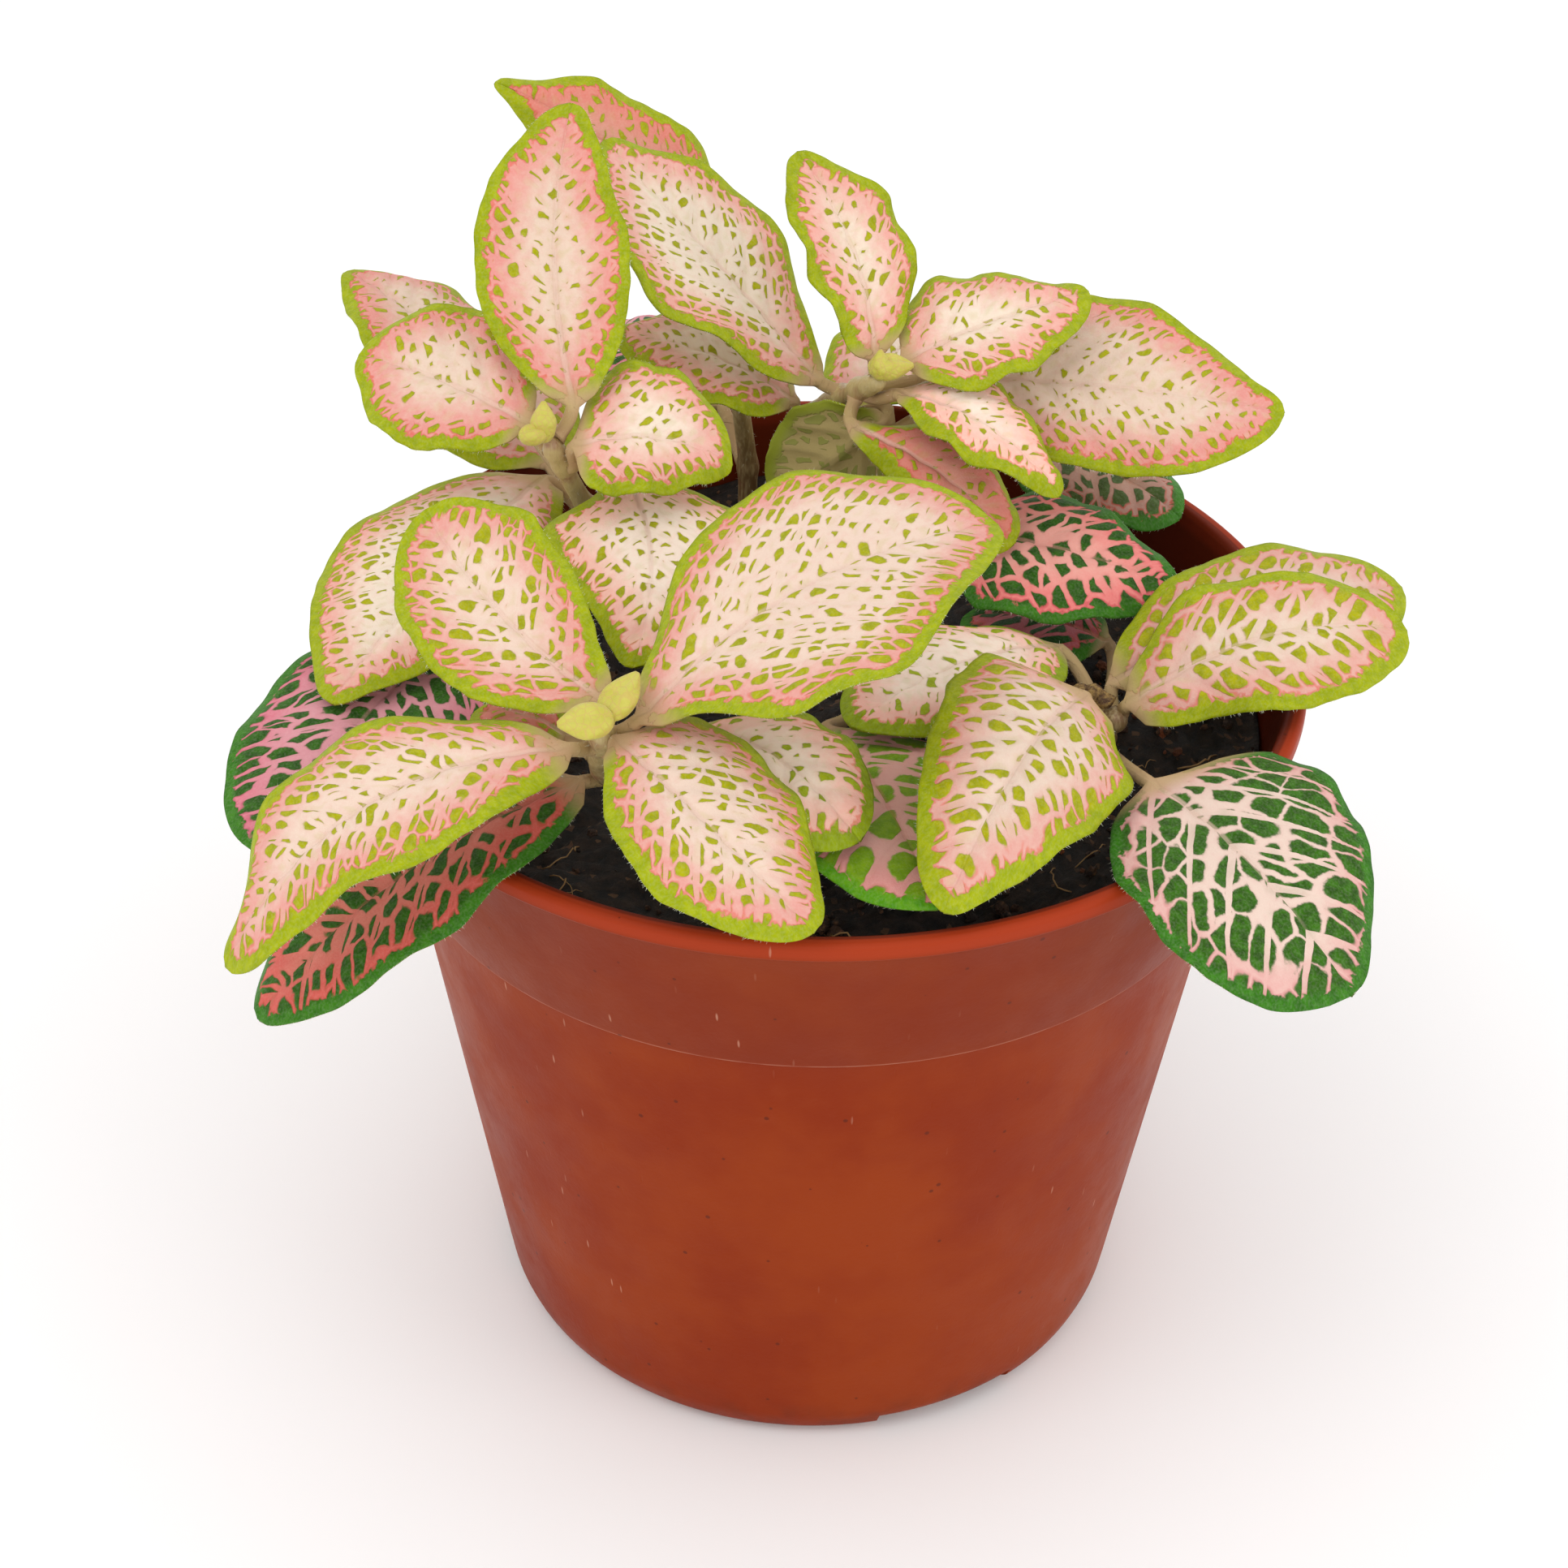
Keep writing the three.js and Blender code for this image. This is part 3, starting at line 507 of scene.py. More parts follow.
# ---------------------------------------------------------------- a short way to write material nodes
class Recipe:
    """Builds one node material; sockets and plain numbers can be mixed freely."""

    def __init__(self, name, roughness, **surface):
        self.material = bpy.data.materials.new(name)
        self.material.use_nodes = True
        self.tree = self.material.node_tree
        self.surface = self.tree.nodes["Principled BSDF"]
        self.surface.inputs["Roughness"].default_value = roughness
        for socket, value in surface.items():
            self.surface.inputs[socket.replace("_", " ")].default_value = value

    def put(self, socket, value):
        """Links a socket, or sets a plain value."""
        if isinstance(value, bpy.types.NodeSocket):
            self.tree.links.new(value, socket)
        else:
            socket.default_value = value

    def node(self, kind, **settings):
        """A new node with its settings."""
        made = self.tree.nodes.new(kind)
        for key, value in settings.items():
            setattr(made, key, value)
        return made

    def vector(self, name):
        """A stored vector of the mesh, split in three."""
        return self.split(self.node("ShaderNodeAttribute", attribute_name=name).outputs["Vector"])

    def split(self, socket, kind="XYZ"):
        """The three parts of a vector, or of a colour."""
        made = self.node("ShaderNodeSeparate" + kind)
        self.put(made.inputs[0], socket)
        return tuple(made.outputs)

    def place(self):
        """Object coordinates in millimetres."""
        made = self.node("ShaderNodeTexCoord")
        scaled = self.node("ShaderNodeVectorMath", operation="SCALE")
        self.put(scaled.inputs[0], made.outputs["Object"])
        scaled.inputs["Scale"].default_value = 1000.0
        return scaled.outputs[0]

    def join(self, x, y, z=0.0):
        """Three numbers as a vector."""
        made = self.node("ShaderNodeCombineXYZ")
        for socket, value in zip(made.inputs, (x, y, z)):
            self.put(socket, value)
        return made.outputs[0]

    def math(self, operation, first, second=0.0, third=0.0, clamp=False):
        """One sum."""
        made = self.node("ShaderNodeMath", operation=operation, use_clamp=clamp)
        for socket, value in zip(made.inputs, (first, second, third)):
            self.put(socket, value)
        return made.outputs[0]

    def add(self, first, second):
        return self.math("ADD", first, second)

    def times(self, first, second):
        return self.math("MULTIPLY", first, second)

    def less(self, first, second):
        return self.math("SUBTRACT", first, second)

    def span(self, value, low, high, start=0.0, end=1.0, smooth=True):
        """The value carried from one range to another, and held at its ends."""
        made = self.node("ShaderNodeMapRange", interpolation_type="SMOOTHSTEP" if smooth else "LINEAR")
        for socket, number in zip(made.inputs, (value, low, high, start, end)):
            self.put(socket, number)
        return made.outputs[0]

    def noise(self, place, scale, detail=2.0, roughness=0.5):
        """Soft noise from 0 to 1."""
        made = self.node("ShaderNodeTexNoise")
        self.put(made.inputs["Vector"], place)
        made.inputs["Scale"].default_value = scale
        made.inputs["Detail"].default_value = detail
        made.inputs["Roughness"].default_value = roughness
        return made.outputs["Fac"]

    def drift(self, place, scale, size, detail=2.0, roughness=0.5):
        """Soft noise that swings round nought."""
        return self.times(self.less(self.noise(place, scale, detail, roughness), 0.5), size)

    def cells(self, place, feature, output, randomness=1.0, dimensions="2D", scale=1.0):
        """A Voronoi pattern's output."""
        made = self.node("ShaderNodeTexVoronoi", feature=feature, voronoi_dimensions=dimensions)
        self.put(made.inputs["Vector"], place)
        made.inputs["Scale"].default_value = scale
        made.inputs["Randomness"].default_value = randomness
        return made.outputs[output]

    def blend(self, share, first, second, kind="MIX"):
        """Two colours mixed."""
        made = self.node("ShaderNodeMix", data_type="RGBA", blend_type=kind)
        self.put(made.inputs["Factor"], share)
        for socket, value in ((made.inputs[6], first), (made.inputs[7], second)):
            self.put(socket, value if isinstance(value, bpy.types.NodeSocket) else paint(value))
        return made.outputs[2]

    def finish(self, colour, height=None, depth=0.1, strength=1.0):
        """Sets the colour, and the small relief in millimetres."""
        self.put(self.surface.inputs["Base Color"], colour)
        if height is not None:
            bump = self.node("ShaderNodeBump")
            bump.inputs["Strength"].default_value = strength
            bump.inputs["Distance"].default_value = depth * MM
            self.put(bump.inputs["Height"], height)
            self.put(self.surface.inputs["Normal"], bump.outputs[0])
        return self.material


def paint(code):
    """A screen colour such as "a05030" as linear light."""
    if not isinstance(code, str):
        return code
    channels = [int(code[start : start + 2], 16) / 255 for start in (0, 2, 4)]
    linear = [c / 12.92 if c <= 0.04045 else ((c + 0.055) / 1.055) ** 2.4 for c in channels]
    return (*linear, 1.0)


# ---------------------------------------------------------------- leaf colours
# cell: size of the net's meshes across and along a side vein, in mm
# open_mid and open_rim: how thick the net is beside the midrib and near the margin
# rare: share of closed meshes, fill: how far a mesh may fill with green, fork: half width of a side vein
# ribs: side veins' spacing along the midrib and band: width of the plain green margin, in mm
LOOKS = {
    "lime": {
        "cell": (1.42, 2.4),
        "open_mid": 0.2,
        "open_rim": 0.095,
        "rare": 0.06,
        "band": 1.45,
        "green": ("939604", "acaa08"),
        "band_green": ("8e9c04", "a2ac08"),
        "cream": "e4cab8",
        "pink": "dd9a90",
        "border": "d87466",
        "rib": "e0bcab",
        "fork": 0.36,
        "fill": 0.52,
        "ribs": 4.6,
    },
}


def look(parent, **changes):
    """A look that differs in a few values."""
    made = dict(LOOKS[parent])
    made.update(changes)
    return made


LOOKS["broad"] = look("lime", cell=(1.6, 2.7), open_mid=0.24, open_rim=0.12, rare=0.1)
# a paler copy of the lime look, its cream and pink lifted: painted light for leaves that sit in shade
LOOKS["lime_lit_in_shade"] = look(
    "lime", cell=(1.3, 2.1), open_mid=0.26, open_rim=0.14, rare=0.14, cream="ecdac6", pink="e6a69a"
)
LOOKS["pale"] = look(
    "lime_lit_in_shade", open_mid=0.29, open_rim=0.17, rare=0.24, pink="df938a", cream="e2c8b4", border="da685a"
)
# glow: a still paler copy of the lime look, painted light for the leaves in the deepest shade
LOOKS["glow"] = look("lime_lit_in_shade", cream="f6e2d0", pink="f4baaa", border="ea8470")
LOOKS["rosy"] = look("pale", pink="dc8274", cream="de9f8c", border="d46050")
LOOKS["lime_old"] = look(
    "lime",
    ribs=5.2,
    cell=(1.9, 3.2),
    open_mid=0.17,
    open_rim=0.1,
    rare=0.02,
    band=1.7,
    cream="e2cab8",
    pink="dca296",
)
# a duller green over the glow look, whose cream, pink and border are painted light for shaded leaves
LOOKS["dull_lime_lit_in_shade"] = look(
    "glow", green=("8c9c0c", "a4b018"), band_green=("86980a", "98ac10"), cell=(1.5, 2.5)
)
LOOKS["salmon"] = look(
    "lime",
    cell=(2.1, 4.4),
    open_mid=0.13,
    open_rim=0.1,
    rare=0.0,
    band=1.3,
    green=("244c0c", "356614"),
    band_green=("2f6a10", "3f7c18"),
    cream="dd7f70",
    pink="d66158",
    border="c25344",
    rib="cf7a6c",
    fork=0.24,
    fill=0.62,
    ribs=6.0,
)
LOOKS["rose_net"] = look(
    "salmon", cream="dc98a0", pink="d87c8a", border="c66274", rib="d8969a", open_mid=0.14
)
# a salmon net with pink veins, partly the leaf's own colour, with its cream, pink and border lifted as
# painted light for a leaf in shade
LOOKS["hot_net_lit_in_shade"] = look(
    "salmon",
    cell=(2.2, 3.6),
    open_mid=0.15,
    open_rim=0.11,
    cream="f2aa9e",
    pink="ee8480",
    border="dc5a62",
    rib="e8a096",
)
LOOKS["white_net"] = look(
    "salmon",
    cell=(2.9, 4.8),
    open_mid=0.07,
    open_rim=0.05,
    cream="e4cabb",
    pink="deaca4",
    border="cf8c88",
    rib="e0c0ae",
    green=("284e0a", "3a6e10"),
    band_green=("2c6410", "3c7c18"),
    fork=0.28,
    ribs=6.8,
)
LOOKS["dull_net"] = look(
    "salmon",
    cell=(1.9, 2.8),
    green=("44562a", "526838"),
    band_green=("37701c", "428024"),
    cream="bf9986",
    pink="bc9084",
)
LOOKS["dark_net"] = look("salmon", green=("18400e", "205418"), cream="c4727a", pink="c06068")
# a light green net with pink veins, partly the leaf's own colour, with its green and cream lifted as
# painted light for a leaf lying under the leaves above
LOOKS["green_net_lit_in_shade"] = look(
    "salmon",
    cell=(3.4, 5.2),
    open_mid=0.1,
    open_rim=0.08,
    green=("6f980c", "84aa18"),
    band_green=("4f960c", "6aa818"),
    cream="ecb4aa",
    pink="e69c98",
    border="da8880",
    fork=0.3,
)
LOOKS["reverse"] = look(
    "lime", cream="8a7a3c", pink="94803f", border="88783a", rib="6f6a2c", green=("6f7c2c", "7f8a34")
)


def leaf_material(name, look_name, seed):
    """Net-veined leaf: pale veins round green islands, a green margin and a fine midrib."""
    style = LOOKS[look_name]
    mix = Recipe(name, 0.5, Specular_IOR_Level=0.08)
    phase, across, lengthwise = mix.vector("vein")
    rim, reach, top = mix.vector("zone")
    along, blade, _ = mix.vector("part")

    spot = mix.join(mix.add(lengthwise, seed * 13.7), mix.add(across, seed * 7.3), 0.0)
    sway = mix.drift(spot, 0.3, 1.8)
    other = mix.join(mix.add(across, seed * 3.1), mix.less(lengthwise, seed * 5.3), 4.0)
    sway_more = mix.drift(other, 0.4, 1.6)
    wide, long = style["cell"]
    half_side = mix.times(mix.math("SIGN", across), 31.0)
    run = mix.add(mix.times(lengthwise, 0.74), mix.times(mix.math("ABSOLUTE", across), 0.67))
    curl = mix.drift(spot, 0.55 / wide, 1.3 * wide, 1.0)
    curl_more = mix.drift(other, 0.6 / wide, 1.3 * wide, 1.0)
    net_x = mix.times(mix.add(mix.add(mix.add(phase, seed * 13.7), sway), curl), 1 / (1.45 * wide))
    net_y = mix.times(mix.add(mix.add(mix.add(run, half_side), sway_more), curl_more), 1 / long)
    net_place = mix.join(net_x, net_y, 0.0)
    edge = mix.cells(net_place, "DISTANCE_TO_EDGE", "Distance", 0.85)
    chance, chance_more, _ = mix.split(mix.cells(net_place, "F1", "Color", 0.85), "Color")

    # thickness of the net: thick beside the midrib, thin outwards, closed where a mesh has no green
    least = mix.span(reach, 0.1, 0.85, style["open_mid"], style["open_rim"])
    shut = mix.span(chance, style["rare"] - 0.12, style["rare"] + 0.12, 0.34, 0.0)
    shut = mix.times(shut, mix.span(rim, style["band"] + 1.0, style["band"] + 3.0, 0.35, 1.0))
    least = mix.add(least, shut)
    least = mix.add(least, mix.times(mix.less(chance_more, 0.5), 0.12))
    least = mix.add(least, mix.span(along, 0.0, 0.16, 0.12, 0.0))
    middle = mix.cells(net_place, "F1", "Distance", 0.85)
    rounded = mix.times(mix.less(style["fill"], middle), 0.7)

    # side veins keep the islands apart
    turn = mix.times(mix.add(phase, mix.times(sway, 0.35)), 1 / style["ribs"])
    near = mix.math("ABSOLUTE", mix.less(mix.math("FRACT", mix.add(turn, 0.5)), 0.5))
    side_vein = mix.times(near, style["ribs"] * 0.72)
    vein_half = mix.span(reach, 0.0, 1.0, style["fork"] * 1.5, style["fork"] * 0.35, smooth=False)
    barrier = mix.span(mix.less(side_vein, vein_half), 0.0, 0.45, -0.12, 0.4, smooth=False)
    field = mix.math("MINIMUM", mix.less(edge, least), mix.add(barrier, 0.02))
    field = mix.math("SMOOTH_MIN", field, rounded, 0.16)
    field = mix.add(field, mix.drift(spot, 1.6, 0.13, 3.0, 0.6))

    # the margin stays green, with fine pale teeth running into it
    shore = mix.less(mix.add(style["band"], mix.drift(other, 0.9, 2.2)), rim)
    field = mix.math("MAXIMUM", field, mix.times(shore, 0.28))
    island = mix.span(field, -0.025, 0.045)

    # colours
    mottle = mix.noise(spot, 0.9, 3.0)
    fine = mix.noise(spot, 3.2, 2.0)
    green = mix.blend(mix.span(mottle, 0.3, 0.7), *style["green"])
    margin = mix.blend(mix.span(mottle, 0.3, 0.7), *style["band_green"])
    green = mix.blend(mix.span(rim, style["band"] - 0.4, style["band"] + 0.8, 0.0, 1.0), margin, green)
    outward = mix.span(rim, style["band"] + 0.4, style["band"] + 6.6, 1.0, 0.0)
    outward = mix.math("ADD", outward, mix.times(mix.less(mottle, 0.5), 0.9), clamp=True)
    pale = mix.blend(outward, style["cream"], style["pink"])
    glow = mix.span(mix.math("ABSOLUTE", mix.add(field, 0.015)), 0.0, 0.09, 1.0, 0.0)
    glow = mix.times(glow, mix.span(rim, style["band"] + 0.6, style["band"] + 2.2, 0.85, 0.12))
    pale = mix.blend(glow, pale, style["border"])
    haze = mix.times(mix.span(edge, 0.1, 0.4), mix.span(reach, 0.05, 0.5, 0.32, 0.18))
    pale = mix.blend(haze, pale, mix.blend(0.5, style["green"][1], style["cream"]))
    line = mix.span(side_vein, 0.04, 0.2, 0.1, 0.0)
    line = mix.times(line, mix.span(reach, 0.1, 0.8, 1.0, 0.0))
    pale = mix.blend(line, pale, style["rib"])
    colour = mix.blend(island, pale, green)
    rib_half = mix.span(along, 0.0, 1.0, 0.42, 0.12, smooth=False)
    rib = mix.span(mix.less(mix.math("ABSOLUTE", across), rib_half), -0.12, 0.16, 1.0, 0.0)
    rib_core = mix.times(rib, mix.span(along, 0.0, 0.9, 0.75, 0.0, smooth=False))
    colour = mix.blend(rib_core, colour, style["rib"])
    # faint pale speckles over the blade: painted glints standing in for the sparkle of the leaf's hairs
    colour = mix.blend(mix.span(fine, 0.35, 0.75, 0.0, 0.05), colour, "fff6ea")

    stalk = mix.blend(mix.noise(mix.place(), 0.25), "b6a468", "c29a7e")
    below = mix.blend(mix.times(island, 0.6), "b3a06a", "7f8f34")
    below = mix.blend(mix.span(rim, 0.5, 2.0, 0.6, 0.0), below, style["band_green"][0])
    colour = mix.blend(mix.span(top, 0.4, 0.6), below, colour)
    colour = mix.blend(blade, stalk, colour)

    swell = mix.add(mix.times(island, 0.8), mix.times(fine, 0.35))
    swell = mix.less(swell, mix.times(rib, 0.5))
    swell = mix.add(swell, mix.times(mix.noise(spot, 6.5, 1.0), 0.25))
    return mix.finish(colour, swell, 0.16, 0.7)


def stem_material():
    """Fleshy stem, olive to rosy brown, with faint streaks."""
    mix = Recipe("stem_skin", 0.45)
    spot = mix.place()
    x, y, z = mix.split(spot)
    height = mix.span(z, 88.0, 116.0)
    colour = mix.blend(height, "7a5c38", "c4b078")
    colour = mix.blend(mix.span(mix.noise(spot, 0.3, 3.0), 0.5, 0.75, 0.0, 0.8), colour, "9c6a52")
    streak = mix.noise(mix.join(x, y, mix.times(z, 0.2)), 2.6)
    colour = mix.blend(mix.span(streak, 0.4, 0.7, 0.0, 0.5), colour, "cdb98a")
    return mix.finish(colour, streak, 0.12)


def bud_material():
    """Young folded leaves, yellow-green with faint rosy veins."""
    mix = Recipe("bud_skin", 0.5, Sheen_Weight=0.2)
    spot = mix.place()
    veins = mix.cells(spot, "DISTANCE_TO_EDGE", "Distance", dimensions="3D", scale=1.1)
    colour = mix.blend(mix.noise(spot, 0.6), "b4ac24", "cfc75c")
    colour = mix.blend(mix.span(veins, 0.02, 0.12, 0.35, 0.0), colour, "c99a60")
    return mix.finish(colour, mix.add(veins, mix.times(mix.noise(spot, 4.0), 0.4)), 0.15)


def withered_material():
    """A dead shoot tip, dry and brown."""
    mix = Recipe("withered_tip", 0.75)
    lumps = mix.noise(mix.place(), 1.3, 4.0, 0.6)
    colour = mix.blend(mix.span(lumps, 0.35, 0.65), "4a2e18", "a08048")
    return mix.finish(colour, lumps, 0.6)


def hair_material():
    """Fine pale hairs."""
    mix = Recipe("leaf_hair", 0.35)
    colour = mix.blend(mix.noise(mix.place(), 0.4), "e6ecc8", "f4f6e6")
    return mix.finish(colour)


def peat_material():
    """Damp peat: near black with brown fibres."""
    mix = Recipe("peat_surface", 0.8)
    spot = mix.place()
    lumps = mix.noise(spot, 0.55, 6.0, 0.65)
    colour = mix.blend(mix.span(lumps, 0.35, 0.7), "0f0c0a", "33241a")
    fleck = mix.split(mix.cells(spot, "F1", "Color", dimensions="3D", scale=1.2), "Color")[0]
    colour = mix.blend(mix.span(fleck, 0.93, 0.97, 0.0, 0.7), colour, "6a4a30")
    return mix.finish(colour, lumps, 0.8)


def crumb_material():
    """Loose brown crumbs and withered scraps."""
    mix = Recipe("peat_crumb", 0.75)
    spot = mix.place()
    island = mix.node("ShaderNodeNewGeometry").outputs["Random Per Island"]
    colour = mix.blend(mix.span(island, 0.0, 0.7, smooth=False), "1a120d", "3f2819")
    colour = mix.blend(mix.span(island, 0.86, 0.98), colour, "8a4a26")
    colour = mix.blend(mix.span(mix.noise(spot, 1.2, 3.0), 0.5, 0.8, 0.0, 0.5), colour, "a0714a")
    return mix.finish(colour, mix.noise(spot, 1.8, 4.0), 0.4)


def straw_material():
    """Dry root hairs and fibres."""
    mix = Recipe("dry_fibre", 0.6)
    colour = mix.blend(mix.noise(mix.place(), 0.5), "7a5230", "c8a26a")
    return mix.finish(colour)


def pot_material():
    """Thin moulded plastic, brick red, specked and lightly scuffed."""
    mix = Recipe("pot_plastic", 0.45, Specular_IOR_Level=0.08)
    spot = mix.place()
    x, y, z = mix.split(spot)
    cloud = mix.noise(spot, 0.035, 4.0, 0.6)
    colour = mix.blend(mix.span(cloud, 0.35, 0.65), "842a06", "90360a")
    dust = mix.noise(spot, 0.11, 5.0, 0.7)
    colour = mix.blend(mix.span(dust, 0.55, 0.8, 0.0, 0.15), colour, "9c523a")
    # painted shade and highlights: a darker collar, a brighter lip, and a fine pale line where the collar
    # steps in
    collar_shade = mix.span(z, 71.8, 73.2)
    colour = mix.blend(mix.times(collar_shade, 0.35), colour, "702a12")
    # painted highlight: the lip brighter
    lip = mix.span(z, 93.3, 94.6)
    colour = mix.blend(mix.times(lip, 0.8), colour, "a83a1c")
    # painted highlight: a fine pale line along the collar's step, patchy
    step = mix.span(mix.math("ABSOLUTE", mix.less(z, 72.25)), 0.1, 0.5, 0.55, 0.0)
    step = mix.times(step, mix.span(mix.noise(spot, 0.3, 3.0), 0.3, 0.6, 0.35, 1.0))
    colour = mix.blend(step, colour, "c58a72")
    # painted shade: the inner wall darkened
    radius = mix.math("SQRT", mix.add(mix.times(x, x), mix.times(y, y)))
    wall_middle = mix.add(30.9, mix.times(z, 0.29))
    inner = mix.span(mix.less(wall_middle, radius), -0.2, 0.2, 0.0, 0.6)
    colour = mix.blend(inner, colour, "3a1208")
    # dark specks in the plastic
    speck = mix.cells(spot, "F1", "Distance", dimensions="3D", scale=0.42)
    tone = mix.split(mix.cells(spot, "F1", "Color", dimensions="3D", scale=0.42), "Color")[1]
    size = mix.span(tone, 0.55, 1.0, 0.0, 0.13)
    dot = mix.span(mix.less(speck, size), -0.03, 0.02, 1.0, 0.0)
    colour = mix.blend(mix.times(dot, 0.65), colour, "4c1d12")
    # short pale scratches
    angle = mix.math("ARCTAN2", y, x)
    wall = mix.join(mix.times(angle, 45.0), mix.times(z, 0.16), 0.0)
    hair_line = mix.cells(wall, "F1", "Distance", scale=0.34)
    scratch = mix.span(hair_line, 0.02, 0.05, 1.0, 0.0)
    worn = mix.span(mix.noise(spot, 0.05, 2.0), 0.58, 0.7)
    colour = mix.blend(mix.times(mix.times(scratch, worn), 0.5), colour, "d09a80")
    # darker towards the foot, in patches
    foot = mix.span(z, 0.0, 9.0, 0.5, 0.0)
    foot_darkening = mix.times(foot, mix.span(mix.noise(spot, 0.25, 5.0), 0.4, 0.7))
    colour = mix.blend(foot_darkening, colour, "5a2a1a")
    roughness = mix.span(dust, 0.3, 0.8, 0.38, 0.56)
    mix.put(mix.surface.inputs["Roughness"], roughness)
    grain = mix.add(mix.noise(spot, 1.6, 3.0), mix.times(scratch, -0.5))
    return mix.finish(colour, grain, 0.05, 0.5)


def floor_material():
    """Plain pale floor."""
    mix = Recipe("pale_floor", 0.9)
    return mix.finish(paint("fdfdfd"))


# ---------------------------------------------------------------- stems, hairs and young leaves
def tube_loops(points, radii, sides):
    """Rings round a run of points, kept from twisting."""
    points = np.asarray(points, float)
    ways = unit(np.gradient(points, axis=0))
    across = unit(np.cross(ways[0], [0.3, 1.0, 0.1]))
    loops = []
    angles = np.linspace(0, 2 * math.pi, sides, endpoint=False)
    for centre, way, radius in zip(points, ways, radii):
        across = unit(across - way * np.dot(across, way))
        above = np.cross(way, across)
        spokes = across * np.cos(angles)[:, None] + above * np.sin(angles)[:, None]
        loops.append(centre + spokes * radius)
    return np.array(loops)


def tube_faces(rings, sides, first=0):
    """Quads of a tube and its two ends."""
    faces = []
    for ring in range(rings - 1):
        for place in range(sides):
            after = (place + 1) % sides
            low, high = first + ring * sides, first + (ring + 1) * sides
            faces.append((low + place, low + after, high + after, high + place))
    faces.append(tuple(first + place for place in reversed(range(sides))))
    faces.append(tuple(first + (rings - 1) * sides + place for place in range(sides)))
    return faces


def rounded_path(path, steps):
    """Points along a stem with its corners eased."""
    path = np.array(path, float)
    reach = np.concatenate([[0], np.cumsum(np.linalg.norm(np.diff(path, axis=0), axis=1))])
    where = np.linspace(0, reach[-1], steps)
    dense = np.stack([np.interp(where, reach, path[:, axis]) for axis in range(3)], axis=1)
    for _ in range(steps // 12):
        dense[1:-1] = 0.25 * dense[:-2] + 0.5 * dense[1:-1] + 0.25 * dense[2:]
    return dense


def build_stem(name, path):
    """A stem with swollen joints, from the peat to its growing tip."""
    steps, sides = 70, 20
    points = rounded_path(path, steps)
    share = np.linspace(0, 1, steps)
    radii = STEM_RADIUS + (STEM_TIP_RADIUS - STEM_RADIUS) * share
    for form in LEAVES.values():
        if form["stem"] == name:
            joint, _ = on_stem(name, form["height"])
            gap = np.linalg.norm(points - joint, axis=1)
            radii = np.maximum(radii, radii + 0.28 * np.exp(-((gap / 1.3) ** 2)))
    radii = radii * (1 - 0.55 * np.clip((share - 0.95) / 0.05, 0, 1) ** 2)
    loops = tube_loops(points, radii, sides)
    piece = add_mesh("fine_" + name, loops.reshape(-1, 3), tube_faces(steps, sides))
    return piece, points, radii


def add_hairs(points, faces, roots, ways, lengths, girth):
    """Tapered three-sided hairs, added to the lists."""
    turns = np.array([0.0, 2.094, 4.189])
    for root, way, length in zip(roots, ways, lengths):
        across = np.cross(way, UP)
        if np.linalg.norm(across) < 1e-3:
            across = np.array([1.0, 0.0, 0.0])
        across = unit(across)
        above = np.cross(way, across)
        first = len(points)
        for turn in turns:
            points.append(root - way * 0.05 + girth * (across * math.cos(turn) + above * math.sin(turn)))
        points.append(root + way * length)
        corners = ((0, 1, 3), (1, 2, 3), (2, 0, 3), (0, 2, 1))
        faces += [tuple(first + corner for corner in face) for face in corners]


HAIR_GIRTH = 0.025
MARGIN_HAIR_GIRTH = 0.022
MARGIN_HAIR_SPACING = 0.42
PETIOLE_HAIRS = 26
STEM_HAIRS = 90
HAIR_SEED = 11


def build_hairs(stem_runs):
    """Hairs on the margins, petioles and stems."""
    chance = np.random.default_rng(HAIR_SEED)
    points, faces = [], []
    for form in LEAVES.values():
        length = float(np.linalg.norm(np.array(form["tip"], float) - np.array(form["base"], float)))
        count = int(length / MARGIN_HAIR_SPACING)
        along = np.sort(chance.uniform(0.04, 1.0, count))
        for side in (-1.0, 1.0):
            edge = np.full_like(along, side)
            roots = blade_point(form, along, edge)
            inner = blade_point(form, along, edge * 0.9)
            outward = unit(roots - inner)
            roots = roots + blade_normal(form, along, edge) * chance.uniform(-0.1, 0.1, (count, 1))
            ways = unit(outward + chance.normal(0, 0.4, (count, 3)))
            add_hairs(points, faces, roots, ways, chance.uniform(0.22, 0.48, count), MARGIN_HAIR_GIRTH)
        path, _ = petiole_path(form)
        where = chance.uniform(0, PETIOLE_RINGS - 1.01, PETIOLE_HAIRS)
        low = where.astype(int)
        centre = path[low] + (path[low + 1] - path[low]) * (where - low)[:, None]
        ways = unit(chance.normal(0, 1, (PETIOLE_HAIRS, 3)))
        roots = centre + ways * PETIOLE_RADIUS * 0.8
        add_hairs(points, faces, roots, ways, chance.uniform(0.4, 0.9, PETIOLE_HAIRS), HAIR_GIRTH)
    for run, radii in stem_runs:
        low = chance.integers(12, len(run) - 1, STEM_HAIRS)
        ways = unit(chance.normal(0, 1, (STEM_HAIRS, 3)))
        roots = run[low] + ways * (radii[low] * 0.85)[:, None]
        add_hairs(points, faces, roots, ways, chance.uniform(0.5, 1.0, STEM_HAIRS), HAIR_GIRTH)
    return add_mesh("leaf_hairs", points, faces, smooth=False)


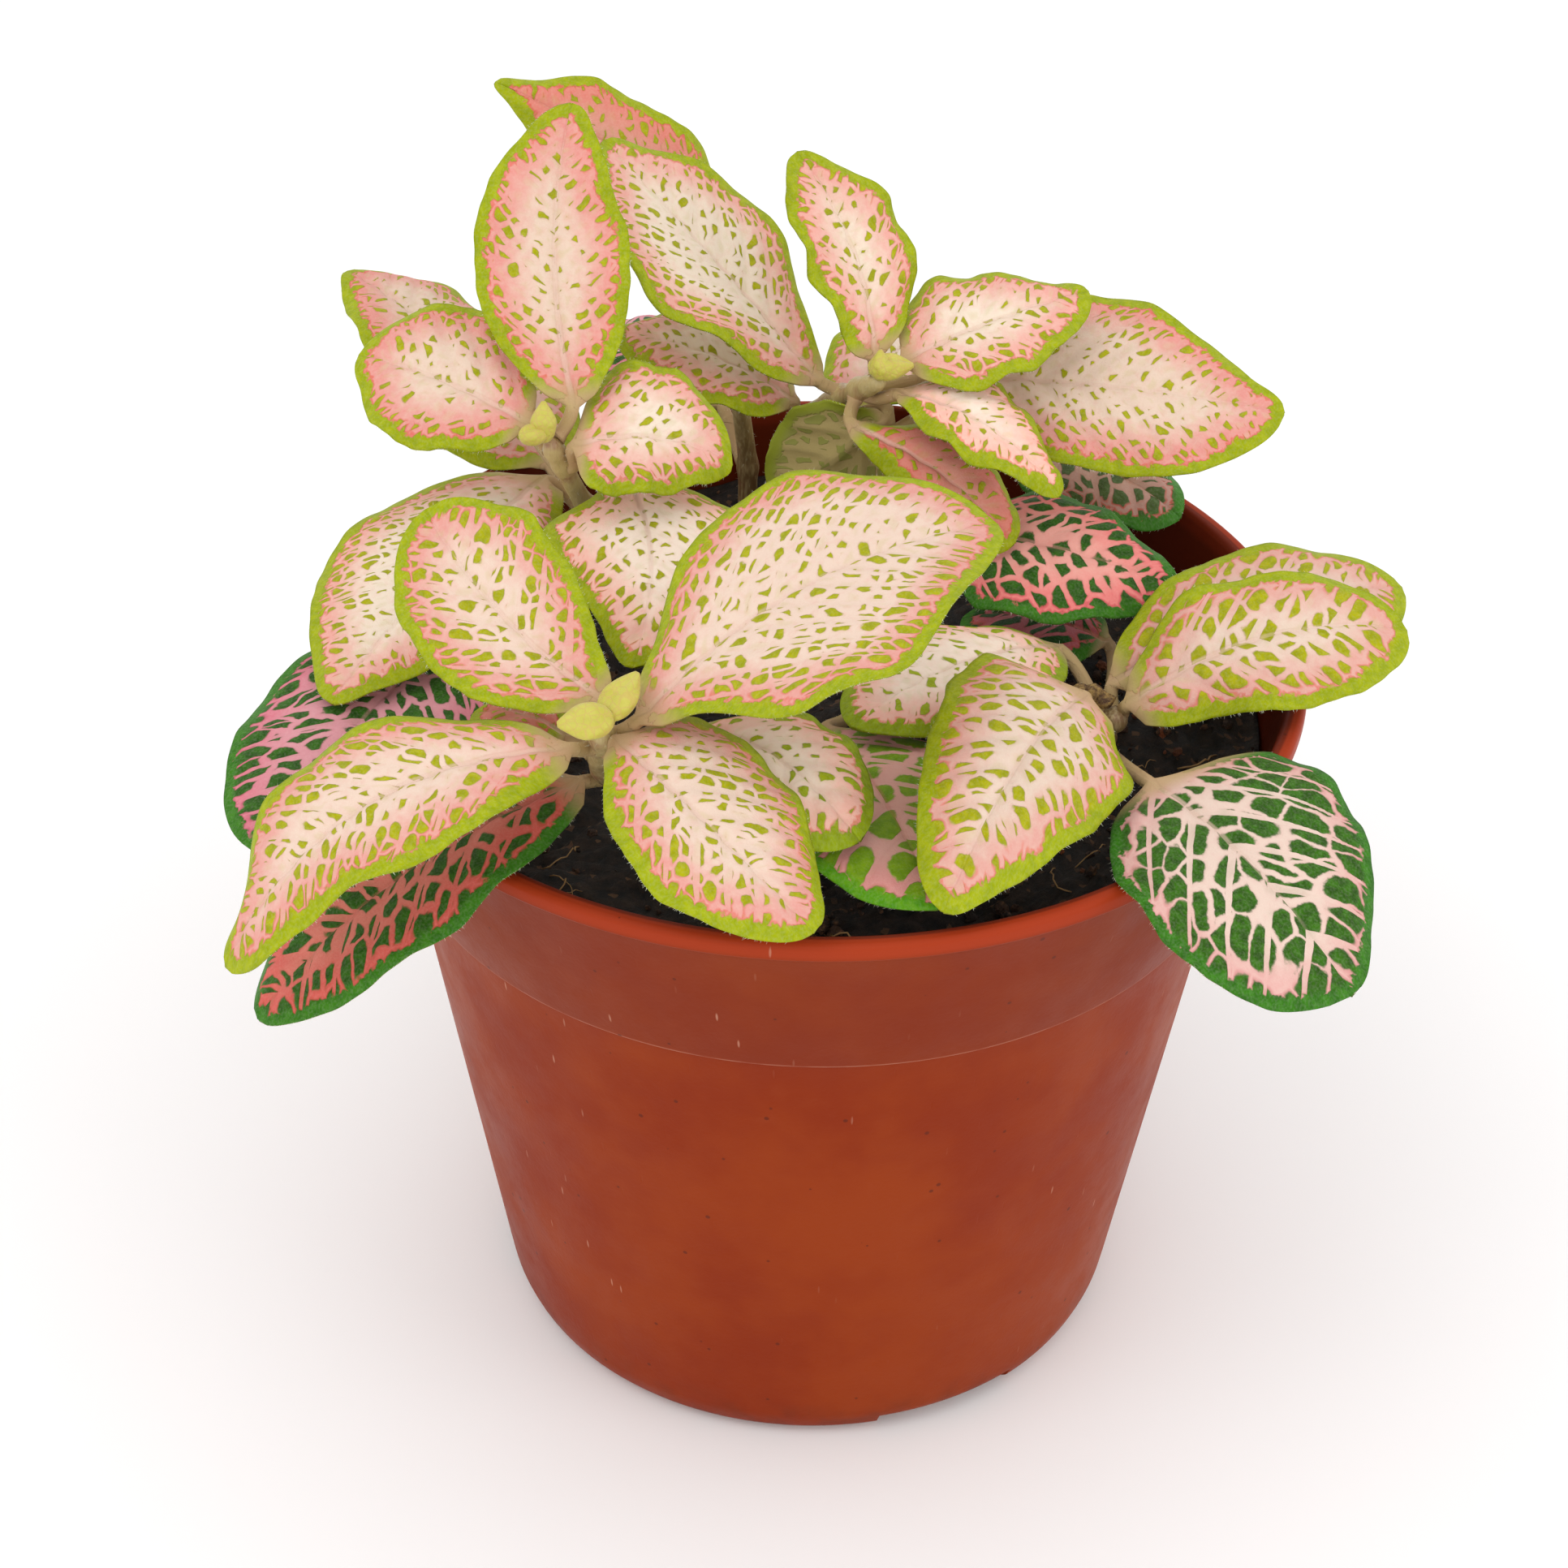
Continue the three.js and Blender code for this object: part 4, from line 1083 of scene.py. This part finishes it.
# each scale of a bud: centre, half sizes, lean about x and turn about z in degrees
BUDS = {
    "bud_a": [
        ((-25.5, -47.6, 117.2), (3.1, 2.3, 1.3), -30, 192),
        ((-22, -43.9, 118), (2.3, 3.3, 1.3), 30, -38),
        ((-23.8, -45.2, 116), (1.4, 1.4, 1.6), 0, 0),
    ],
    "bud_b": [((-33.6, 4.4, 124.4), (1.6, 1.5, 2.5), -20, 0), ((-34.6, 3.2, 123.5), (2, 1.5, 1.3), 10, 20)],
    "bud_c": [((8, 20.5, 123.8), (2.8, 1.9, 1.7), 10, 10), ((6.8, 20, 124.2), (1.3, 1.3, 1.9), -20, 0)],
    "bud_d": [
        ((34.6, -12.7, 97.4), (1.3, 1, 1), 20, 30),
        ((33.2, -12.1, 98), (1.4, 1.1, 1.3), -15, 0),
        ((31.8, -11.8, 98.1), (1.3, 1, 0.9), 10, -20),
    ],
}
WITHERED_BUD = "bud_d"
CREASE_DEPTH = 0.3
CREASE_WIDTH = 0.3


def build_bud(name, scales):
    """Folded young leaves: pointed ovals with a crease, each closed."""
    rows, sides = 26, 32
    points, faces = [], []
    for centre, size, lean, turn in scales:
        size = np.array(size, float)
        longest = int(np.argmax(size))
        first = len(points)
        for row in range(rows):
            share = (row + 0.5) / rows
            height = 2 * share - 1
            girth = math.sqrt(1 - height**2) * (1 - 0.5 * max(height, 0) ** 1.5)
            for side in range(sides):
                angle = 2 * math.pi * side / sides
                from_crease = math.remainder(angle - math.pi / 2, 2 * math.pi)
                crease = 1 - CREASE_DEPTH * math.exp(-((from_crease / CREASE_WIDTH) ** 2))
                ridge = 1 + 0.03 * math.sin(6 * angle + 5 * height)
                spoke = girth * crease * ridge
                local = [spoke * math.cos(angle), spoke * math.sin(angle)]
                local.insert(longest, height * (1 + 0.12 * max(height, 0) ** 3))
                points.append(local)
        block = np.array(points[first:], float) * size
        for axis, degrees in ((0, lean), (2, turn)):
            swing = math.radians(degrees)
            one, two = (1, 2) if axis == 0 else (0, 1)
            a, b = block[:, one].copy(), block[:, two].copy()
            block[:, one] = a * math.cos(swing) - b * math.sin(swing)
            block[:, two] = a * math.sin(swing) + b * math.cos(swing)
        block = block + np.array(centre, float)
        points[first:] = [tuple(point) for point in block]
        new_faces = tube_faces(rows, sides, first)
        if longest == 1:
            new_faces = [tuple(reversed(face)) for face in new_faces]
        faces += new_faces
    return add_mesh("fine_" + name, points, faces)


# ---------------------------------------------------------------- pot and peat
NOTCH_CENTRES_DEG = (-62, 58, 178)
NOTCH_HALF_DEG = 14
NOTCH_HEIGHT = 2.5
NOTCH_INNER_RADIUS = 31
NOTCH_OUTER_RADIUS = 42
POT_SIDES = 192
SHARP_DEG = 40
# radius, height and how far each corner is rounded
POT_PROFILE = [
    (0, 0, 0),
    (37.6, 0, 0.5),
    (39.4, 1.2, 0.8),
    (40.4, 3.6, 0.8),
    (41, 7, 0.8),
    (51.9, 72, 0.15),
    (52.6, 72.4, 0.15),
    (58.9, 93.2, 0.2),
    (60, 93.8, 0.25),
    (60, 95.5, 0.35),
    (59.5, 96, 0.3),
    (58.1, 96, 0.3),
    (57.6, 95.4, 0.3),
    (51.3, 72.6, 0.4),
    (50.7, 72, 0.4),
    (39.8, 7, 0.6),
    (39, 4, 0.6),
    (29, 4, 0.5),
    (27.5, 1.5, 0.5),
    (0, 1.5, 0),
]


def turned_faces(rings, sides):
    """Faces of a turned solid: a point on the axis, rings of points, and a point on the axis."""
    faces = []
    last = 1 + (rings - 1) * sides
    for place in range(sides):
        after = (place + 1) % sides
        faces.append((0, 1 + after, 1 + place))
        for low in range(1, last, sides):
            high = low + sides
            faces.append((low + place, low + after, high + after, high + place))
        faces.append((last + place, last + after, last + sides))
    return faces


def eased_profile(profile):
    """The pot's outline with each corner rounded by its third value."""
    eased = [profile[0][:2]]
    for before, here, after in zip(profile, profile[1:], profile[2:]):
        corner = np.array(here[:2], float)
        back = np.array(before[:2], float) - corner
        ahead = np.array(after[:2], float) - corner
        room = min(here[2], 0.45 * np.linalg.norm(back), 0.45 * np.linalg.norm(ahead))
        start = corner + unit(back) * room
        end = corner + unit(ahead) * room
        for t in (0.0, 0.33, 0.67, 1.0):
            eased.append(tuple((1 - t) ** 2 * start + 2 * t * (1 - t) * corner + t**2 * end))
    eased.append(profile[-1][:2])
    return eased


def build_pot():
    """The pot turned finely, with its foot notches, rounded lip and a few moulded rings."""
    profile = eased_profile(POT_PROFILE)
    tall = []
    for low, high in zip(profile, profile[1:]):
        parts = max(1, int(abs(high[1] - low[1]) / 6))
        for part in range(parts):
            share = part / parts
            tall.append((low[0] + (high[0] - low[0]) * share, low[1] + (high[1] - low[1]) * share))
    tall.append(profile[-1])
    angles = list(np.linspace(0, 360, POT_SIDES, endpoint=False))
    for centre in NOTCH_CENTRES_DEG:
        for edge in (centre - NOTCH_HALF_DEG, centre + NOTCH_HALF_DEG):
            angles += [(edge - 0.12) % 360, (edge + 0.12) % 360]
    angles = sorted(set(round(angle, 4) for angle in angles))
    points = [(0.0, 0.0, tall[0][1])]
    for radius, height in tall[1:-1]:
        in_foot = NOTCH_INNER_RADIUS < radius < NOTCH_OUTER_RADIUS and height < NOTCH_HEIGHT
        for angle in angles:
            turn = math.radians(angle)
            offset = min(abs(math.remainder(angle - centre, 360)) for centre in NOTCH_CENTRES_DEG)
            lift = NOTCH_HEIGHT if in_foot and offset < NOTCH_HALF_DEG else height
            points.append((radius * math.cos(turn), radius * math.sin(turn), lift))
    points.append((0.0, 0.0, tall[-1][1]))
    piece = add_mesh("fine_pot", points, turned_faces(len(tall) - 2, len(angles)))
    keep_edges(piece, SHARP_DEG)
    return piece


def keep_edges(piece, degrees):
    """Shades a piece smooth except over sharp edges."""
    limit = math.cos(math.radians(degrees))
    mesh = piece.data
    normals = {}
    for polygon in mesh.polygons:
        for key in polygon.edge_keys:
            normals.setdefault(key, []).append(polygon.normal.copy())
    for edge in mesh.edges:
        pair = normals.get(edge.key, [])
        edge.use_edge_sharp = len(pair) == 2 and pair[0].dot(pair[1]) < limit


PEAT_TOP = 87
PEAT_RIM_RADIUS = 54.75
PEAT_SIDES = 200
PEAT_TOP_RINGS = 84
PEAT_PROFILE = [
    (27.3, 1.8),
    (28.8, 4.3),
    (38.6, 4.3),
    (39.4, 7),
    (50.3, 72),
    (50.9, 72.8),
    (54.2, 85.2),
]
LUMP_SEED = 5


def peat_height(x, y):
    """The frame's gentle hummocks."""
    return PEAT_TOP + 0.7 * np.sin(x * 0.16 + 1) * np.cos(y * 0.13) + 0.4 * np.sin(x * 0.31 - y * 0.27)


def lumps(x, y):
    """Grainy relief of the peat, in millimetres."""
    chance = np.random.default_rng(LUMP_SEED)
    total = np.zeros_like(x)
    for octave in range(5):
        scale = 0.35 * 1.9**octave
        weight = 0.5 * 0.72**octave
        for _ in range(4):
            angle, phase, twist = chance.uniform(0, 2 * math.pi, 3)
            slide = x * math.cos(angle) + y * math.sin(angle)
            warp = 1.4 * np.sin(0.6 * scale * (y - x) + twist)
            total += weight * 0.5 * np.sin(slide * scale + phase + warp)
    return total


def build_peat():
    """The peat in the pot: plain sides and base, and a lumpy top."""
    radii = np.linspace(PEAT_RIM_RADIUS, 0.6, PEAT_TOP_RINGS)
    angles = np.linspace(0, 2 * math.pi, PEAT_SIDES, endpoint=False)
    points = [(0.0, 0.0, PEAT_PROFILE[0][1])]
    for radius, height in PEAT_PROFILE:
        points += [(radius * math.cos(angle), radius * math.sin(angle), height) for angle in angles]
    for radius in radii:
        x, y = radius * np.cos(angles), radius * np.sin(angles)
        top = peat_height(x, y) + lumps(x, y) * np.clip((PEAT_RIM_RADIUS - radius) / 1.5, 0.25, 1)
        points += list(zip(x, y, top))
    points.append((0.0, 0.0, float(peat_height(0.0, 0.0))))
    return add_mesh("fine_peat", points, turned_faces(len(PEAT_PROFILE) + len(radii), PEAT_SIDES))


def pebble(points, faces, centre, size, chance):
    """One small irregular crumb."""
    rows, sides = 6, 8
    first = len(points)
    axis = unit(chance.normal(0, 1, 3))
    across = unit(np.cross(axis, [0.2, 0.9, 0.4]))
    above = np.cross(axis, across)
    stretch = chance.uniform(0.6, 1.3, 3)
    for row in range(rows):
        swing = math.pi * (row + 0.5) / rows
        for side in range(sides):
            turn = 2 * math.pi * side / sides
            bulge = size * chance.uniform(0.72, 1.15)
            spot = (
                axis * math.cos(swing) * stretch[0]
                + across * math.sin(swing) * math.cos(turn) * stretch[1]
                + above * math.sin(swing) * math.sin(turn) * stretch[2]
            )
            points.append(centre + spot * bulge)
    for row in range(rows - 1):
        for side in range(sides):
            after = (side + 1) % sides
            low, high = first + row * sides, first + (row + 1) * sides
            faces.append((low + side, high + side, high + after, low + after))
    faces.append(tuple(first + side for side in range(sides)))
    faces.append(tuple(first + (rows - 1) * sides + side for side in reversed(range(sides))))


# larger crumbs seen between the leaves: x, y, size
LARGE_CRUMBS = [
    (45.5, 33, 1.6),
    (47.5, 30, 1.1),
    (49.5, 27, 1.2),
    (34.5, -1.2, 1.9),
    (32.5, 4, 1.6),
    (35.5, 7.3, 1.3),
    (1.2, -46, 1.5),
    (23.3, -41, 1.3),
    (48, -2, 1.0),
    (42, -6, 1.0),
]


CRUMB_COUNT = 620
CRUMB_REACH = 54.0
CRUMB_SEED = 23


def build_crumbs():
    """Loose crumbs on the peat, and the larger ones seen between the leaves."""
    chance = np.random.default_rng(CRUMB_SEED)
    points, faces = [], []
    for _ in range(CRUMB_COUNT):
        radius = CRUMB_REACH * math.sqrt(chance.uniform(0, 1))
        angle = chance.uniform(0, 2 * math.pi)
        x, y = radius * math.cos(angle), radius * math.sin(angle)
        size = 0.25 + 0.75 * chance.uniform(0, 1) ** 3
        ground = float(peat_height(x, y) + lumps(np.array([x]), np.array([y]))[0])
        pebble(points, faces, np.array([x, y, ground + size * 0.25]), size, chance)
    for x, y, size in LARGE_CRUMBS:
        ground = float(peat_height(x, y))
        for _ in range(5):
            shift = chance.normal(0, 0.55 * size, 3)
            centre = np.array([x, y, ground + 0.5 * size]) + shift * np.array([1, 1, 0.4])
            pebble(points, faces, centre, size * chance.uniform(0.35, 0.75), chance)
    return add_mesh("peat_crumbs", points, faces, smooth=False)


FIBRE_STARTS = [(-31, -37), (-29, -38), (-27, -40), (-32, -35), (2, -48), (44, -12), (44, 16), (30, -38)]
FIBRE_STEPS = 9
FIBRE_STRIDE = 0.85
FIBRE_SIDES = 5
LOOSE_FIBRES = 22
FIBRE_SEED = 31


def build_fibres():
    """Dry fibres and root hairs lying on the peat."""
    chance = np.random.default_rng(FIBRE_SEED)
    points, faces = [], []
    loose = [tuple(chance.uniform(-38, 38, 2)) for _ in range(LOOSE_FIBRES)]
    for x, y in FIBRE_STARTS + loose:
        heading = chance.uniform(0, 2 * math.pi)
        run = []
        for step in range(FIBRE_STEPS):
            ground = float(peat_height(x, y))
            hop = math.sin(math.pi * step / (FIBRE_STEPS - 1)) * chance.uniform(0.4, 1.6)
            run.append((x, y, ground + 0.4 + hop))
            heading += chance.normal(0, 0.5)
            x += FIBRE_STRIDE * math.cos(heading)
            y += FIBRE_STRIDE * math.sin(heading)
        radii = np.full(FIBRE_STEPS, chance.uniform(0.06, 0.14))
        loops = tube_loops(run, radii, FIBRE_SIDES)
        first = len(points)
        points += [tuple(point) for point in loops.reshape(-1, 3)]
        faces += tube_faces(FIBRE_STEPS, FIBRE_SIDES, first)
    return add_mesh("peat_fibres", points, faces)


# ---------------------------------------------------------------- dress the frame
def dress(piece, material, slot, *nodes):
    """Material, and the nodes that the piece stands for, which are hidden; the slot is not used."""
    piece.data.materials.append(material)
    if nodes:
        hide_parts(*nodes)
    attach(piece, "root")


OLD_LEAVES = ["leaf_" + mark for mark in ("a7", "a8", "c8", "c9", "d4", "d6", "g1", "g3", "g4")]
for number, (leaf_name, leaf_form) in enumerate(LEAVES.items()):
    skin = leaf_material("skin_" + leaf_name, leaf_form["look"], number + 1)
    age = "leaf_old" if leaf_name in OLD_LEAVES else "leaf_young"
    dress(build_leaf(leaf_name, leaf_form), skin, age, leaf_name)

stem_skin = stem_material()
stem_runs = []
for stem_name, stem_path in STEMS.items():
    stem_piece, run, girth = build_stem(stem_name, stem_path)
    stem_runs.append((run, girth))
    dress(stem_piece, stem_skin, "stem", stem_name)

bud_skin = bud_material()
withered_skin = withered_material()
for bud_name, bud_scales in BUDS.items():
    skin = withered_skin if bud_name == WITHERED_BUD else bud_skin
    dress(build_bud(bud_name, bud_scales), skin, "bud", bud_name)

dress(build_hairs(stem_runs), hair_material(), "leaf_young")
dress(build_pot(), pot_material(), "pot", "pot")
dress(build_peat(), peat_material(), "peat", "soil")
dress(build_crumbs(), crumb_material(), "peat")
dress(build_fibres(), straw_material(), "peat")

# ---------------------------------------------------------------- floor, light and camera
FLOOR_HALF = 1.5
FLOOR_DROP = 0.0002
floor_mesh = bpy.data.meshes.new("floor")
corners = [(x * FLOOR_HALF, y * FLOOR_HALF, -FLOOR_DROP) for x, y in ((-1, -1), (1, -1), (1, 1), (-1, 1))]
floor_mesh.from_pydata(corners, [], [(0, 1, 2, 3)])
floor = bpy.data.objects.new("floor", floor_mesh)
bpy.context.scene.collection.objects.link(floor)
floor_mesh.materials.append(floor_material())

world = bpy.data.worlds.new("studio")
bpy.context.scene.world = world
world.use_nodes = True
world.node_tree.nodes["Background"].inputs[0].default_value = (1.0, 1.0, 1.0, 1.0)
world.node_tree.nodes["Background"].inputs[1].default_value = 1.0
bpy.context.scene.view_settings.view_transform = "Standard"


# each soft light: its place, the height of the point it is aimed at, its size in metres and its watts
LIGHTS = {
    "top_soft": ((-0.25, -0.35, 0.9), 0.1, 0.5, 0.8),
    "front_fill": ((0.0, -0.85, 0.62), 0.08, 0.4, 0.9),
    "left_soft": ((-0.75, -0.35, 0.4), 0.08, 0.5, 0.5),
    "right_soft": ((0.75, -0.35, 0.4), 0.08, 0.5, 0.9),
}
for light_name, (place, aim, size, power) in LIGHTS.items():
    lamp = bpy.data.lights.new(light_name, "AREA")
    lamp.size = size
    lamp.energy = power
    holder = bpy.data.objects.new(light_name, lamp)
    holder.location = place
    holder.rotation_euler = (Vector((0.0, 0.0, aim)) - Vector(place)).to_track_quat("-Z", "Y").to_euler()
    bpy.context.scene.collection.objects.link(holder)

CAMERA_AZIMUTH = math.radians(0.6)
CAMERA_HEIGHT = math.radians(35.8)
CAMERA_ROLL = math.radians(0.8)
CAMERA_DISTANCE = 0.504
CAMERA_TARGET = Vector((-0.0041, 0.0, 0.0749))
SENSOR = 36.0
LENS = 91.64

back = Vector(
    (
        math.sin(CAMERA_AZIMUTH) * math.cos(CAMERA_HEIGHT),
        -math.cos(CAMERA_AZIMUTH) * math.cos(CAMERA_HEIGHT),
        math.sin(CAMERA_HEIGHT),
    )
)
level_right = Vector((math.cos(CAMERA_AZIMUTH), math.sin(CAMERA_AZIMUTH), 0.0))
level_up = back.cross(level_right)
camera_right = math.cos(CAMERA_ROLL) * level_right + math.sin(CAMERA_ROLL) * level_up
camera_up = math.cos(CAMERA_ROLL) * level_up - math.sin(CAMERA_ROLL) * level_right
camera_data = bpy.data.cameras.new("camera")
camera_data.sensor_width = SENSOR
camera_data.lens = LENS
camera_data.clip_start = 0.01
camera = bpy.data.objects.new("camera", camera_data)
camera.location = CAMERA_TARGET + back * CAMERA_DISTANCE
camera.rotation_euler = Matrix((camera_right, camera_up, back)).transposed().to_euler()
bpy.context.scene.collection.objects.link(camera)
bpy.context.scene.camera = camera
